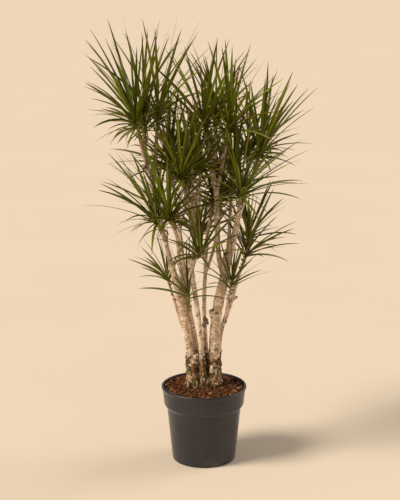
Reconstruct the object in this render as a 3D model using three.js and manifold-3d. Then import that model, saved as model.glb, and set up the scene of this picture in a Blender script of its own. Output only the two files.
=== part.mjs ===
// A potted dragon tree: a bark-filled plastic pot, four bare canes that branch, and a head of
// sword leaves on every branch tip. Millimetres, +Z up, origin under the middle of the pot.
import * as THREE from 'three';
import { mergeVertices } from 'three/addons/utils/BufferGeometryUtils.js';
import Module from 'manifold-3d';

const wasm = await Module();
wasm.setup();

// ---- driving dimensions ----
const HAIR_GAP = 0.3; // clearance between pieces that rest against each other

const pot = {
  footRadius: 116, bodyRadius: 135.5, collarRadius: 146.5, rimRadius: 156, height: 281, lip: 9,
  collarStart: 215, wall: 4, floor: 5, sides: 32,
  drainHoles: 5, drainRadius: 6, drainCircle: 88, drainSides: 6,
};
const THICK_LIMB = 9; // limbs thicker than this have seven sides, the others five
const soil = { level: 274, mound: 4, chip: 3, rings: 3, socketSides: 8, slack: 2 };
const leaf = { width: 12, keel: 1.8, sections: [0, 0.2, 0.6, 1], plump: [0, 0.88, 0.92, 0] };
const headShape = {
  sides: 5, baseLength: 30, lengthShare: 0.13, girthShare: 0.03, waistAt: 0.3, // the spindle
  turn: 137.5, headTurn: 47, lowestLeaf: 0.22, topLeaf: 0.8, comesOut: 0.7, sink: 1.1, // leaf roots
  lowestRise: 36, riseSpan: 46, leastDroop: 4, droopSpan: 30, // leaf arcs
  lean: 0.5, roll: 60, // how far a head follows its branch, and a blade turns about its spine
  shortest: 0.75, sizeBend: 0.6, spread: 0.1, // leaf lengths
  stray: 10, strayGrowth: 4, tilt: 6, droopGrowth: 0.5, shortening: 0.012, // leeway for each leaf
};

// A cane is a list of limbs. A limb runs through its points [x, y, z, radius], and all but the
// first start on the middle line of another, thinner than it is there.
const canes = {
  cane_left: {
    top_left_b: [[-42, -6, 229, 22], [-42, -6, 305, 20], [-54, -8, 430, 15.5], [-70, -16, 540, 15],
      [-92, -25, 645, 15.5], [-110, -28, 715, 11], [-139, -26, 830, 8.5], [-162, -18, 942, 8],
      [-188, -10, 1041, 9], [-204, -4, 1105, 8], [-210, 20, 1190, 6]],
    stump: [[-38, -6, 330, 10], [-34, -5, 360, 17], [-34, -6, 402, 15]],
    top_left_a: [[-200, -8, 1090, 7], [-215, -18, 1145, 6.5], [-228, -28, 1214, 6]],
    top_left_c: [[-188, -10, 1041, 7], [-174, 8, 1110, 7], [-166, 12, 1218, 6]],
    side_left: [[-138, -26, 825, 6.5], [-158, -56, 883, 6]],
    low_left: [[-57, -9, 450, 7], [-90, -17, 545, 5.5], [-124, -20, 664, 4.5]],
    front_left: [[-21, 18, 229, 12], [-21, 18, 350, 11], [-40, 9, 490, 9.5], [-72, -12, 655, 8.5],
      [-88, -50, 764, 7.5], [-94, -84, 850, 6.5], [-108, -104, 897, 6]],
    inner_left: [[-58, -3, 590, 7], [-74, 34, 730, 6.5], [-88, 50, 850, 6.5], [-118, 62, 1054, 6]],
    back_left: [[-88, 50, 850, 5.5], [-72, 84, 915, 5.5], [-56, 118, 985, 5.5]],
    front_shoot: [[-47, 4, 530, 6], [-50, -30, 562, 5], [-54, -44, 604, 4.5]],
  },
  cane_centre: {
    stub: [[-3, -21, 229, 12.5], [-3, -21, 340, 11], [-18, -34, 525, 9], [-38, -49, 675, 9],
      [-54, -54, 780, 10]],
    fork_middle: [[-46, -52, 725, 7.5], [-36, -60, 800, 7.5], [-38, -63, 920, 7], [-40, -76, 1064, 5]],
    fork_left: [[-38, -64, 930, 5], [-55, -78, 972, 5], [-70, -102, 1035, 5]],
    fork_right: [[-38, -64, 930, 5], [-25, -54, 985, 5], [-17, -44, 1044, 5]],
    centre_shoot: [[-50, -53, 745, 6], [-30, -82, 775, 4.5]],
  },
  cane_back: {
    back_middle: [[8, 26, 229, 9.5], [8, 26, 390, 8], [1, 34, 560, 7.5], [5, 48, 710, 7],
      [12, 64, 830, 6.5], [28, 82, 912, 6]],
    back_branch: [[5, 45, 690, 6], [33, 76, 767, 6], [52, 108, 849, 6], [60, 138, 937, 5.5]],
    back_low: [[6, 50, 725, 5.5], [-7, 80, 762, 5.5], [-14, 106, 800, 5]],
  },
  cane_right: {
    front_right: [[36, -8, 229, 22.5], [36, -8, 320, 21], [38, -8, 450, 19], [50, -8, 580, 18.5],
      [68, -8, 665, 18.5], [88, -13, 760, 12.5], [112, -30, 870, 11], [121, -44, 925, 8.5],
      [125, -58, 972, 6.5]],
    stub_low: [[41, -9, 500, 12], [31, -14, 569, 13]],
    stub_high: [[74, -10, 700, 11], [78, -22, 782, 10]],
    top_middle_b: [[70, -8, 690, 11], [52, -3, 775, 9], [46, 12, 905, 8.5], [45, 20, 980, 9],
      [30, 26, 1080, 8.5], [40, 44, 1135, 7], [41, 64, 1206, 6]],
    top_middle_a: [[31, 26, 1075, 7], [17, 14, 1140, 6.5], [6, -10, 1208, 6]],
    top_middle_c: [[44, 21, 985, 6.5], [60, 30, 1070, 6.5], [80, 6, 1186, 6]],
    high_right: [[118, -38, 905, 7.5], [150, -24, 1001, 6.5], [174, 0, 1068, 6], [186, 10, 1102, 6]],
    far_right: [[112, -30, 870, 7], [126, 2, 935, 6.5], [150, 62, 1025, 6.5], [157, 90, 1076, 6]],
    back_right: [[78, -10, 715, 8.5], [90, 36, 825, 7], [95, 77, 912, 6.5], [103, 114, 1008, 6]],
    low_right: [[53, 12, 229, 11.5], [53, 12, 375, 10], [62, 7, 480, 8.5], [98, -2, 595, 7],
      [120, -2, 678, 6], [144, 16, 744, 5]],
    low_front: [[76, 4, 515, 5.5], [84, -14, 585, 5], [93, -30, 642, 4.5]],
    low_back: [[106, -2, 625, 5], [123, 26, 675, 5], [152, 74, 749, 5], [158, 92, 786, 5]],
    knuckle: [[99, -2, 600, 5], [121, -4, 617, 4.5]],
  },
};

// A leaf head sits on the tip of the limb of the same name: [cane, limb, leaf length, leaves, age of
// the lowest leaf], the age going from 0 for an old hanging leaf to 1 for the newest.
const headPlan = [
  ['cane_left', 'top_left_a', 345, 29], ['cane_left', 'top_left_b', 360, 28],
  ['cane_left', 'top_left_c', 380, 30], ['cane_right', 'top_middle_a', 300, 28],
  ['cane_right', 'top_middle_b', 290, 25], ['cane_right', 'top_middle_c', 310, 28],
  ['cane_right', 'high_right', 310, 28], ['cane_right', 'far_right', 310, 24],
  ['cane_right', 'front_right', 320, 26], ['cane_right', 'back_right', 320, 22],
  ['cane_left', 'inner_left', 300, 25], ['cane_left', 'back_left', 290, 20],
  ['cane_back', 'back_middle', 300, 22], ['cane_back', 'back_branch', 310, 22],
  ['cane_centre', 'fork_left', 280, 19, 0.45], ['cane_centre', 'fork_middle', 280, 18, 0.45],
  ['cane_centre', 'fork_right', 280, 19, 0.45], ['cane_left', 'front_left', 320, 25],
  ['cane_left', 'side_left', 300, 24], ['cane_right', 'low_right', 240, 20],
  ['cane_right', 'low_back', 225, 16], ['cane_back', 'back_low', 260, 18],
  ['cane_left', 'low_left', 185, 12], ['cane_left', 'front_shoot', 230, 12],
  ['cane_right', 'low_front', 200, 13], ['cane_centre', 'centre_shoot', 250, 16],
];

// The air round the plant in small cells, so that no leaf is put through another head or a cane.
const room = {
  ringPoints: 20, cell: 3.6, reach: 640, top: 1800, step: 1.6, across: 7, crowdedRoot: 36, tries: 90,
  freeTries: 30,
};

// ---- seeded draws ----
function drawsFrom(start) {
  let seed = start;
  return () => {
    seed = (seed * 16807) % 2147483647;
    return seed / 2147483647;
  };
}
const soilDraw = drawsFrom(7);
const leafDraw = drawsFrom(18);

const radians = (angle) => (angle * Math.PI) / 180;
const degrees = (angle) => (angle * 180) / Math.PI;
const mix = (a, b, t) => a + (b - a) * t;

// ---- solids ----
const MERGE_DISTANCE = 1e-4;

function bareGeometry(geometry) {
  const bare = geometry.clone();
  bare.deleteAttribute('normal');
  bare.deleteAttribute('uv');
  return mergeVertices(bare, MERGE_DISTANCE);
}

// Triangles whose corners are three different vertices, after the closed tips have been merged.
function wholeTriangles(index) {
  const kept = [];
  for (let i = 0; i < index.length; i += 3) {
    const [a, b, c] = [index[i], index[i + 1], index[i + 2]];
    if (a !== b && b !== c && c !== a) kept.push(a, b, c);
  }
  return kept;
}

function toSolid(geometry) {
  const bare = bareGeometry(geometry);
  const vertProperties = new Float32Array(bare.attributes.position.array);
  const triVerts = new Uint32Array(wholeTriangles(bare.index.array));
  return new wasm.Manifold(new wasm.Mesh({ numProp: 3, vertProperties, triVerts }));
}

function toGeometry(solid) {
  const mesh = solid.getMesh();
  const geometry = new THREE.BufferGeometry();
  geometry.setAttribute('position', new THREE.BufferAttribute(mesh.vertProperties, 3));
  geometry.setIndex(new THREE.BufferAttribute(mesh.triVerts, 1));
  geometry.computeVertexNormals();
  return geometry;
}

const join = (solids) => solids.reduce((whole, solid) => whole.add(solid));

// A unit cylinder whose every vertex is put in place by its height t, angle and whether it is on
// the skin (1) or is a cap's middle (0).
function bentCylinder(sides, sections, place) {
  const rows = sections.length - 1;
  const geometry = new THREE.CylinderGeometry(1, 1, 1, sides, rows);
  const position = geometry.attributes.position;
  for (let i = 0; i < position.count; i += 1) {
    const [x, y, z] = [position.getX(i), position.getY(i), position.getZ(i)];
    const t = sections[Math.round((y + 0.5) * rows)];
    const point = place(t, Math.atan2(x, z), Math.min(1, Math.round(Math.hypot(x, z))));
    position.setXYZ(i, point.x, point.y, point.z);
  }
  return geometry;
}

// ---- canes ----
function limbCurve(points) {
  const route = points.map(([x, y, z]) => new THREE.Vector3(x, y, z));
  return new THREE.CatmullRomCurve3(route, false, 'catmullrom', 0.5);
}

function limbRadius(points, t) {
  const along = t * (points.length - 1);
  const i = Math.min(points.length - 2, Math.floor(along));
  return mix(points[i][3], points[i + 1][3], along - i);
}

// Two directions square to the way the limb runs.
function crossAxes(tangent) {
  const side = new THREE.Vector3(0.8, 0.6, 0).cross(tangent).normalize();
  return [side, new THREE.Vector3().crossVectors(side, tangent)];
}

function limbPoint(points, curve, t, angle, spread) {
  const [side, other] = crossAxes(curve.getTangent(t));
  const radius = limbRadius(points, t) * spread;
  return curve.getPoint(t)
    .addScaledVector(side, radius * Math.sin(angle))
    .addScaledVector(other, radius * Math.cos(angle));
}

function limbSolid(points) {
  const curve = limbCurve(points);
  const rows = Math.max(2, points.length - 1);
  const sections = Array.from({ length: rows + 1 }, (_, i) => i / rows);
  const sides = points[0][3] > THICK_LIMB ? 7 : 5;
  const place = (t, angle, skin) => limbPoint(points, curve, t, angle, skin);
  return toSolid(bentCylinder(sides, sections, place));
}

const caneSolid = (limbs) => join(Object.values(limbs).map(limbSolid));

// ---- pot and soil ----
// The outer outline of the pot, from the foot up to the rim's roll, as [radius, height].
function potOutside() {
  const { footRadius: foot, bodyRadius, collarRadius, rimRadius: rim, height, lip, collarStart } = pot;
  return [[foot - 2, 0], [foot, 4], [bodyRadius, collarStart - 14], [collarRadius - 2, collarStart - 5],
    [collarRadius, collarStart], [rim - 4, height - lip - 6], [rim, height - lip], [rim, height - 4],
    [rim - 3, height]];
}

// The inner outline, from the rim down to the floor: a straight wall that widens into the collar.
function potInside() {
  const { footRadius, bodyRadius, collarRadius, rimRadius, height, collarStart, wall, floor } = pot;
  return [[rimRadius - 8, height], [collarRadius - wall, collarStart + 4],
    [bodyRadius - wall, collarStart - 12], [footRadius - wall, floor]];
}

function ringGeometry(outline, sides) {
  return new THREE.LatheGeometry(outline.map(([r, z]) => new THREE.Vector2(r, z)), sides)
    .rotateX(Math.PI / 2);
}

function potSolid() {
  const outline = [[0, 0], ...potOutside(), ...potInside(), [0, pot.floor]];
  const holes = Array.from({ length: pot.drainHoles }, (_, i) => {
    const angle = (i / pot.drainHoles) * 2 * Math.PI;
    const hole = new THREE.CylinderGeometry(pot.drainRadius, pot.drainRadius, 8 * pot.floor,
      pot.drainSides).rotateX(Math.PI / 2);
    hole.translate(pot.drainCircle * Math.cos(angle), pot.drainCircle * Math.sin(angle), 0);
    return toSolid(hole);
  });
  return holes.reduce((body, hole) => body.subtract(hole), toSolid(ringGeometry(outline, pot.sides)));
}

// The soil fills the pot. Its top is a low mound with a rough surface, and each cane has a socket.
function soilSolid() {
  const { level, mound, chip, rings } = soil;
  const inside = potInside().map(([r, z]) => [r - 2 * HAIR_GAP, z + HAIR_GAP]);
  const [brim, collar] = inside;
  const edge = mix(collar[0], brim[0], (level - chip - collar[1]) / (brim[1] - collar[1]));
  const wallSide = inside.slice(1).reverse();
  const top = Array.from({ length: rings }, (_, i) => [edge * (1 - i / rings), level]);
  const outline = [[0, wallSide[0][1]], ...wallSide, ...top, [0, level]];
  const filling = bareGeometry(ringGeometry(outline, pot.sides));
  const position = filling.attributes.position;
  for (let i = 0; i < position.count; i += 1) {
    if (position.getZ(i) < level - 1) continue;
    const inward = Math.max(0, 1 - Math.hypot(position.getX(i), position.getY(i)) / edge);
    position.setZ(i, level + mound * Math.sqrt(inward) + chip * (soilDraw() - 0.5));
  }
  return sockets().reduce((whole, socket) => whole.subtract(socket), toSolid(filling));
}

// A plain round hole for each foot that stands in the soil.
function sockets() {
  const holes = [];
  for (const limbs of Object.values(canes)) {
    for (const points of Object.values(limbs)) {
      const [x, y, z, radius] = points[0];
      if (z > soil.level) continue;
      const socket = (radius + soil.slack) / Math.cos(Math.PI / soil.socketSides);
      const hole = new THREE.CylinderGeometry(socket, socket, pot.height, soil.socketSides)
        .rotateX(Math.PI / 2);
      hole.translate(x, y, z - HAIR_GAP + pot.height / 2);
      holes.push(toSolid(hole));
    }
  }
  return holes;
}

// ---- leaf heads ----
// The budded top of a branch, which the leaves stand out of: a slim spindle in line with the limb.
function spindleOf(caneName, limbName, reach) {
  const points = canes[caneName][limbName];
  const curve = limbCurve(points);
  const way = curve.getTangent(1);
  const start = curve.getPoint(1).addScaledVector(way, HAIR_GAP);
  const foot = points.at(-1)[3];
  const waist = foot + headShape.girthShare * reach;
  const length = headShape.baseLength + headShape.lengthShare * reach;
  const lean = degrees(Math.acos(way.z));
  const leansTo = Math.atan2(way.y, way.x);
  return { start, way, foot, waist, length, lean, leansTo };
}

function spindleRadius(spindle, t) {
  const { waistAt } = headShape;
  if (t < waistAt) return mix(spindle.foot, spindle.waist, t / waistAt);
  return mix(spindle.waist, 0, (t - waistAt) / (1 - waistAt));
}

function spindlePoint(spindle, t, angle, spread) {
  const [side, other] = crossAxes(spindle.way);
  return spindle.start.clone()
    .addScaledVector(spindle.way, spindle.length * t)
    .addScaledVector(side, spindleRadius(spindle, t) * spread * Math.sin(angle))
    .addScaledVector(other, spindleRadius(spindle, t) * spread * Math.cos(angle));
}

function spindleSolid(spindle) {
  const place = (t, angle, skin) => spindlePoint(spindle, t, angle, skin);
  return toSolid(bentCylinder(headShape.sides, [0, headShape.waistAt, 1], place));
}

// A leaf's spine is an arc of a circle in an upright plane: it leaves at an angle `rise` above level
// and has turned down by `droop` at its tip.
function spinePoint(blade, t) {
  const [rise, droop] = [radians(blade.rise), radians(blade.droop)];
  const out = (blade.length / droop) * (Math.sin(rise) - Math.sin(rise - droop * t));
  const up = (blade.length / droop) * (Math.cos(rise - droop * t) - Math.cos(rise));
  const heading = radians(blade.heading);
  return blade.root.clone().add(new THREE.Vector3(out * Math.cos(heading), out * Math.sin(heading), up));
}

const bladeWidth = (i) => leaf.plump[i] * leaf.width;

const keelDepth = (i) => leaf.keel * Math.min(1, leaf.plump[i] * 3);

// The ways across a blade and out of its flat, at t along its spine, with the blade's roll in them.
function bladeAxes(blade, t) {
  const [heading, roll] = [radians(blade.heading), radians(blade.roll)];
  const tilt = radians(blade.rise - blade.droop * t);
  const level = new THREE.Vector3(-Math.sin(heading), Math.cos(heading), 0);
  const tall = new THREE.Vector3(-Math.sin(tilt) * Math.cos(heading), -Math.sin(tilt) * Math.sin(heading),
    Math.cos(tilt));
  const side = level.clone().multiplyScalar(Math.cos(roll)).addScaledVector(tall, Math.sin(roll));
  const up = tall.clone().multiplyScalar(Math.cos(roll)).addScaledVector(level, -Math.sin(roll));
  return [side, up];
}

// Three-sided blade: two edges and a keel along the underside.
function bladeSolid(blade) {
  const place = (t, angle, skin) => {
    const i = leaf.sections.indexOf(t);
    const [side, up] = bladeAxes(blade, t);
    const corner = Math.round((angle / (2 * Math.PI)) * 3);
    const across = corner === 0 ? 0 : Math.sign(corner) * 0.5;
    const drop = corner === 0 ? -keelDepth(i) : 0;
    return spinePoint(blade, t)
      .addScaledVector(side, across * bladeWidth(i) * skin)
      .addScaledVector(up, drop * skin);
  };
  return toSolid(bentCylinder(3, leaf.sections, place));
}

// ---- room: which cells of the air are taken, and by whom ----
const wide = Math.ceil((2 * room.reach) / room.cell);
const tall = Math.ceil(room.top / room.cell);
const taken = new Uint8Array(wide * wide * tall);
const WOOD = 255;

function cellOf(point) {
  const i = Math.floor((point.x + room.reach) / room.cell);
  const j = Math.floor((point.y + room.reach) / room.cell);
  const k = Math.floor(point.z / room.cell);
  return (i * wide + j) * tall + k;
}

function claim(points, owner) {
  for (const point of points) {
    const middle = cellOf(point);
    for (let i = -1; i <= 1; i += 1) {
      for (let j = -1; j <= 1; j += 1) {
        for (let k = -1; k <= 1; k += 1) {
          const cell = middle + (i * wide + j) * tall + k;
          if (taken[cell] === 0) taken[cell] = owner;
        }
      }
    }
  }
}

// Near its root a blade may pass its own head's other leaves and its own cane, further out nothing.
function isFree(samples, owner, root) {
  return samples.every((point) => {
    const holder = taken[cellOf(point)];
    const ownCrowd = holder === owner || holder === WOOD;
    return holder === 0 || (ownCrowd && point.distanceTo(root) < room.crowdedRoot);
  });
}

// Points in rings all the way along a round piece, on its skin and halfway in.
function roundSamples(length, pointAt) {
  const steps = Math.ceil(length / room.cell);
  const samples = [];
  for (let i = 0; i <= steps; i += 1) {
    for (let side = 0; side < room.ringPoints; side += 1) {
      const angle = (side / room.ringPoints) * 2 * Math.PI;
      samples.push(pointAt(i / steps, angle, 1), pointAt(i / steps, angle, 0.5));
    }
  }
  return samples;
}

function limbSamples(points) {
  const curve = limbCurve(points);
  return roundSamples(curve.getLength(), (t, angle, spread) => limbPoint(points, curve, t, angle, spread));
}

function spindleSamples(spindle) {
  return roundSamples(spindle.length, (t, angle, spread) => spindlePoint(spindle, t, angle, spread));
}

// Points across a blade at one of its sections, and one on its keel.
function bladeRow(blade, i) {
  const [side, up] = bladeAxes(blade, leaf.sections[i]);
  const middle = spinePoint(blade, leaf.sections[i]);
  const flat = Array.from({ length: room.across }, (_, k) => middle.clone()
    .addScaledVector(side, (k / (room.across - 1) - 0.5) * bladeWidth(i)));
  return [...flat, middle.addScaledVector(up, -keelDepth(i))];
}

// Points all over a blade's flat and along its keel.
function bladeSamples(blade) {
  const rows = leaf.sections.map((_, i) => bladeRow(blade, i));
  const samples = [...rows.at(-1)];
  for (let i = 0; i < rows.length - 1; i += 1) {
    const span = spinePoint(blade, leaf.sections[i]).distanceTo(spinePoint(blade, leaf.sections[i + 1]));
    const steps = Math.ceil(span / room.step);
    for (let step = 0; step < steps; step += 1) {
      rows[i].forEach((from, k) => samples.push(from.clone().lerp(rows[i + 1][k], step / steps)));
    }
  }
  return samples;
}

// Lowest leaves are old and hang, the topmost stand nearly upright, and each is turned a golden
// angle from the one below. The whole head leans with its branch. A leaf starts inside the spindle,
// `sink` before it comes out.
function bladeOf(head, age, turn, size, attempt) {
  const { spindle, owner } = head;
  const shape = headShape;
  const stray = shape.stray + shape.strayGrowth * attempt;
  const shortening = Math.max(0, attempt - room.freeTries) * shape.shortening;
  const heading = turn + owner * shape.headTurn + stray * (leafDraw() - 0.5);
  const rise = shape.lowestRise + shape.riseSpan * age
    + (shape.tilt + attempt) * (leafDraw() - 0.5)
    - shape.lean * spindle.lean * Math.cos(radians(heading) - spindle.leansTo);
  const droop = shape.leastDroop + shape.droopSpan * (1 - age)
    + (shape.tilt + shape.droopGrowth * attempt) * leafDraw();
  const roll = shape.roll * (2 * leafDraw() - 1);
  const out = new THREE.Vector3(Math.cos(radians(heading)), Math.sin(radians(heading)), 0);
  const t = mix(shape.lowestLeaf, shape.topLeaf, age);
  const sunk = shape.sink * spindle.waist;
  const root = spindle.start.clone()
    .addScaledVector(spindle.way, spindle.length * t)
    .addScaledVector(out, shape.comesOut * spindleRadius(spindle, t) - sunk * Math.cos(radians(rise)));
  root.z -= sunk * Math.sin(radians(rise));
  return { root, heading, rise, droop, roll, length: size * (1 - shortening) };
}

// A leaf is nudged until it is clear of every other head and cane, and left out where none is.
function growLeaf(head, i) {
  const age = mix(head.oldest, 1, i / (head.count - 1));
  const grown = mix(headShape.shortest, 1, age ** headShape.sizeBend);
  const size = head.reach * grown * mix(1 - headShape.spread, 1 + headShape.spread, leafDraw());
  for (let attempt = 0; attempt < room.tries; attempt += 1) {
    const blade = bladeOf(head, age, i * headShape.turn, size, attempt);
    const samples = bladeSamples(blade);
    if (isFree(samples, head.owner, blade.root)) {
      claim(samples, head.owner);
      head.blades.push(blade);
      return;
    }
  }
}

// ---- the plant ----
const finish = (color, roughness) => new THREE.MeshStandardMaterial({ color, roughness, metalness: 0 });
const group = new THREE.Group();

function addPiece(name, solid, material) {
  const mesh = new THREE.Mesh(toGeometry(solid), material);
  mesh.name = name;
  group.add(mesh);
}

addPiece('pot', potSolid(), finish(0x3b3a3b, 0.6));
addPiece('soil', soilSolid(), finish(0x5b3622, 0.95));
for (const [name, limbs] of Object.entries(canes)) {
  addPiece(name, caneSolid(limbs), finish(0xb59a7c, 0.85));
  for (const points of Object.values(limbs)) claim(limbSamples(points), WOOD);
}

const heads = headPlan.map(([cane, limb, reach, count, oldest = 0], i) => {
  const spindle = spindleOf(cane, limb, reach);
  claim(spindleSamples(spindle), i + 1);
  return { limb, reach, count, oldest, spindle, owner: i + 1, blades: [] };
});

// All heads grow together, from the topmost leaf down, a leaf each in turn, so that none takes all
// the room.
const mostLeaves = Math.max(...heads.map((head) => head.count));
for (let fromTop = 1; fromTop <= mostLeaves; fromTop += 1) {
  for (const head of heads.filter(({ count }) => fromTop <= count)) growLeaf(head, head.count - fromTop);
}
for (const head of heads) {
  const solid = join([spindleSolid(head.spindle), ...head.blades.map(bladeSolid)]);
  addPiece(`head_${head.limb}`, solid, finish(0x3c5220, 0.45));
}

export default group;
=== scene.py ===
"""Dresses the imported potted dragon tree: its pot, bark filling, canes and leaf heads.

Lengths in the tables and size fields are millimetres, as on the part's own drawing. Meshes are
metres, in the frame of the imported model: +Z up, +Y away from the viewer, the origin under the
middle of the pot.
"""
import logging
import math
from dataclasses import dataclass, field
from enum import Enum

import bpy
import numpy as np
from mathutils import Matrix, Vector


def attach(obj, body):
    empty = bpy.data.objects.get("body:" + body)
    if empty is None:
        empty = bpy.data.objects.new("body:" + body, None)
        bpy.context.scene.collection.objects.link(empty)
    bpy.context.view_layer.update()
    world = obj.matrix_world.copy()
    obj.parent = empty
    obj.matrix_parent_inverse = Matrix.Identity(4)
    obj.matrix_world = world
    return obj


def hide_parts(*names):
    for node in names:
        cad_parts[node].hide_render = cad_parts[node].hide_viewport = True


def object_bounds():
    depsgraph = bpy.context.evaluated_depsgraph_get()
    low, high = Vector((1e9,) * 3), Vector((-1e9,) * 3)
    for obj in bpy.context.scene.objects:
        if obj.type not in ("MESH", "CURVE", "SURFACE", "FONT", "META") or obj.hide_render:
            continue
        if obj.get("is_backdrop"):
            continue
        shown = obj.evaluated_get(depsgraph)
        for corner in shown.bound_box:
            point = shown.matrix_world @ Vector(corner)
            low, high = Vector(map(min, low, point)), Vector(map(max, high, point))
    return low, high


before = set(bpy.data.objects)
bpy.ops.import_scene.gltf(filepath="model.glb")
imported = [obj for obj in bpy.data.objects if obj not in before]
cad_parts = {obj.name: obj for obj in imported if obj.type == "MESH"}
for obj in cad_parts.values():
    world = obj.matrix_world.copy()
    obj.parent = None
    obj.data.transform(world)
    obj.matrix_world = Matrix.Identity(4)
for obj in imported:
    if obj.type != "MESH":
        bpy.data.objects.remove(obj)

log = logging.getLogger("dragon_tree")
MM = 0.001
Array = np.ndarray
Tint = tuple[float, float, float]
GOLDEN_ANGLE = 137.5
SKY = np.array([0.0, 0.0, 1.0])
SLAB_CORNERS = 6
SLAB_PLACES = 2 * SLAB_CORNERS

# ---- the plant's own table: limbs of every cane as [x, y, z, radius], and the heads they carry ----
LIMBS: dict[str, dict[str, list[list[float]]]] = {
    "cane_left": {
        "top_left_b": [[-42, -6, 229, 22], [-42, -6, 305, 20], [-54, -8, 430, 15.5],
                       [-70, -16, 540, 15], [-92, -25, 645, 15.5], [-110, -28, 715, 11],
                       [-139, -26, 830, 8.5], [-162, -18, 942, 8], [-188, -10, 1041, 9],
                       [-204, -4, 1105, 8], [-210, 20, 1190, 6]],
        "stump": [[-38, -6, 330, 10], [-34, -5, 360, 17], [-34, -6, 402, 15]],
        "top_left_a": [[-200, -8, 1090, 7], [-215, -18, 1145, 6.5], [-228, -28, 1214, 6]],
        "top_left_c": [[-188, -10, 1041, 7], [-174, 8, 1110, 7], [-166, 12, 1218, 6]],
        "side_left": [[-138, -26, 825, 6.5], [-158, -56, 883, 6]],
        "low_left": [[-57, -9, 450, 7], [-90, -17, 545, 5.5], [-124, -20, 664, 4.5]],
        "front_left": [[-21, 18, 229, 12], [-21, 18, 350, 11], [-40, 9, 490, 9.5],
                       [-72, -12, 655, 8.5], [-88, -50, 764, 7.5], [-94, -84, 850, 6.5],
                       [-108, -104, 897, 6]],
        "inner_left": [[-58, -3, 590, 7], [-74, 34, 730, 6.5], [-88, 50, 850, 6.5],
                       [-118, 62, 1054, 6]],
        "back_left": [[-88, 50, 850, 5.5], [-72, 84, 915, 5.5], [-56, 118, 985, 5.5]],
        "front_shoot": [[-47, 4, 530, 6], [-50, -30, 562, 5], [-54, -44, 604, 4.5]],
    },
    "cane_centre": {
        "stub": [[-3, -21, 229, 12.5], [-3, -21, 340, 11], [-18, -34, 525, 9], [-38, -49, 675, 9],
                 [-54, -54, 780, 10]],
        "fork_middle": [[-46, -52, 725, 7.5], [-36, -60, 800, 7.5], [-38, -63, 920, 7],
                        [-40, -76, 1064, 5]],
        "fork_left": [[-38, -64, 930, 5], [-55, -78, 972, 5], [-70, -102, 1035, 5]],
        "fork_right": [[-38, -64, 930, 5], [-25, -54, 985, 5], [-17, -44, 1044, 5]],
        "centre_shoot": [[-50, -53, 745, 6], [-30, -82, 775, 4.5]],
    },
    "cane_back": {
        "back_middle": [[8, 26, 229, 9.5], [8, 26, 390, 8], [1, 34, 560, 7.5], [5, 48, 710, 7],
                        [12, 64, 830, 6.5], [28, 82, 912, 6]],
        "back_branch": [[5, 45, 690, 6], [33, 76, 767, 6], [52, 108, 849, 6], [60, 138, 937, 5.5]],
        "back_low": [[6, 50, 725, 5.5], [-7, 80, 762, 5.5], [-14, 106, 800, 5]],
    },
    "cane_right": {
        "front_right": [[36, -8, 229, 22.5], [36, -8, 320, 21], [38, -8, 450, 19],
                        [50, -8, 580, 18.5], [68, -8, 665, 18.5], [88, -13, 760, 12.5],
                        [112, -30, 870, 11], [121, -44, 925, 8.5], [125, -58, 972, 6.5]],
        "stub_low": [[41, -9, 500, 12], [31, -14, 569, 13]],
        "stub_high": [[74, -10, 700, 11], [78, -22, 782, 10]],
        "top_middle_b": [[70, -8, 690, 11], [52, -3, 775, 9], [46, 12, 905, 8.5],
                         [45, 20, 980, 9], [30, 26, 1080, 8.5], [40, 44, 1135, 7],
                         [41, 64, 1206, 6]],
        "top_middle_a": [[31, 26, 1075, 7], [17, 14, 1140, 6.5], [6, -10, 1208, 6]],
        "top_middle_c": [[44, 21, 985, 6.5], [60, 30, 1070, 6.5], [80, 6, 1186, 6]],
        "high_right": [[118, -38, 905, 7.5], [150, -24, 1001, 6.5], [174, 0, 1068, 6],
                       [186, 10, 1102, 6]],
        "far_right": [[112, -30, 870, 7], [126, 2, 935, 6.5], [150, 62, 1025, 6.5],
                      [157, 90, 1076, 6]],
        "back_right": [[78, -10, 715, 8.5], [90, 36, 825, 7], [95, 77, 912, 6.5],
                       [103, 114, 1008, 6]],
        "low_right": [[53, 12, 229, 11.5], [53, 12, 375, 10], [62, 7, 480, 8.5],
                      [98, -2, 595, 7], [120, -2, 678, 6], [144, 16, 744, 5]],
        "low_front": [[76, 4, 515, 5.5], [84, -14, 585, 5], [93, -30, 642, 4.5]],
        "low_back": [[106, -2, 625, 5], [123, 26, 675, 5], [152, 74, 749, 5], [158, 92, 786, 5]],
        "knuckle": [[99, -2, 600, 5], [121, -4, 617, 4.5]],
    },
}
KNOTS: dict[str, list[tuple[float, float, float, float]]] = {  # burrs and cut ends: x, y, z, size
    "cane_left": [(-211, -18, 1093, 8), (-182, -2, 1050, 7), (-34, -5, 404, 9)],
    "cane_centre": [(-54, -54, 778, 8)],
    "cane_back": [(7, 25, 519, 10.5), (-1, 24, 502, 8), (14, 21, 510, 5.5)],
    "cane_right": [(52, -8, 470, 6), (50, -8, 456, 5), (79, 1, 522, 6), (31, -15, 567, 8),
                   (78, -22, 781, 8), (47, 14, 1068, 7)],
}
OLDEST: dict[str, float] = {  # the age of the lowest leaf, where it isn't 0
    "fork_left": 0.45, "fork_middle": 0.45, "fork_right": 0.45,
}
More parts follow.
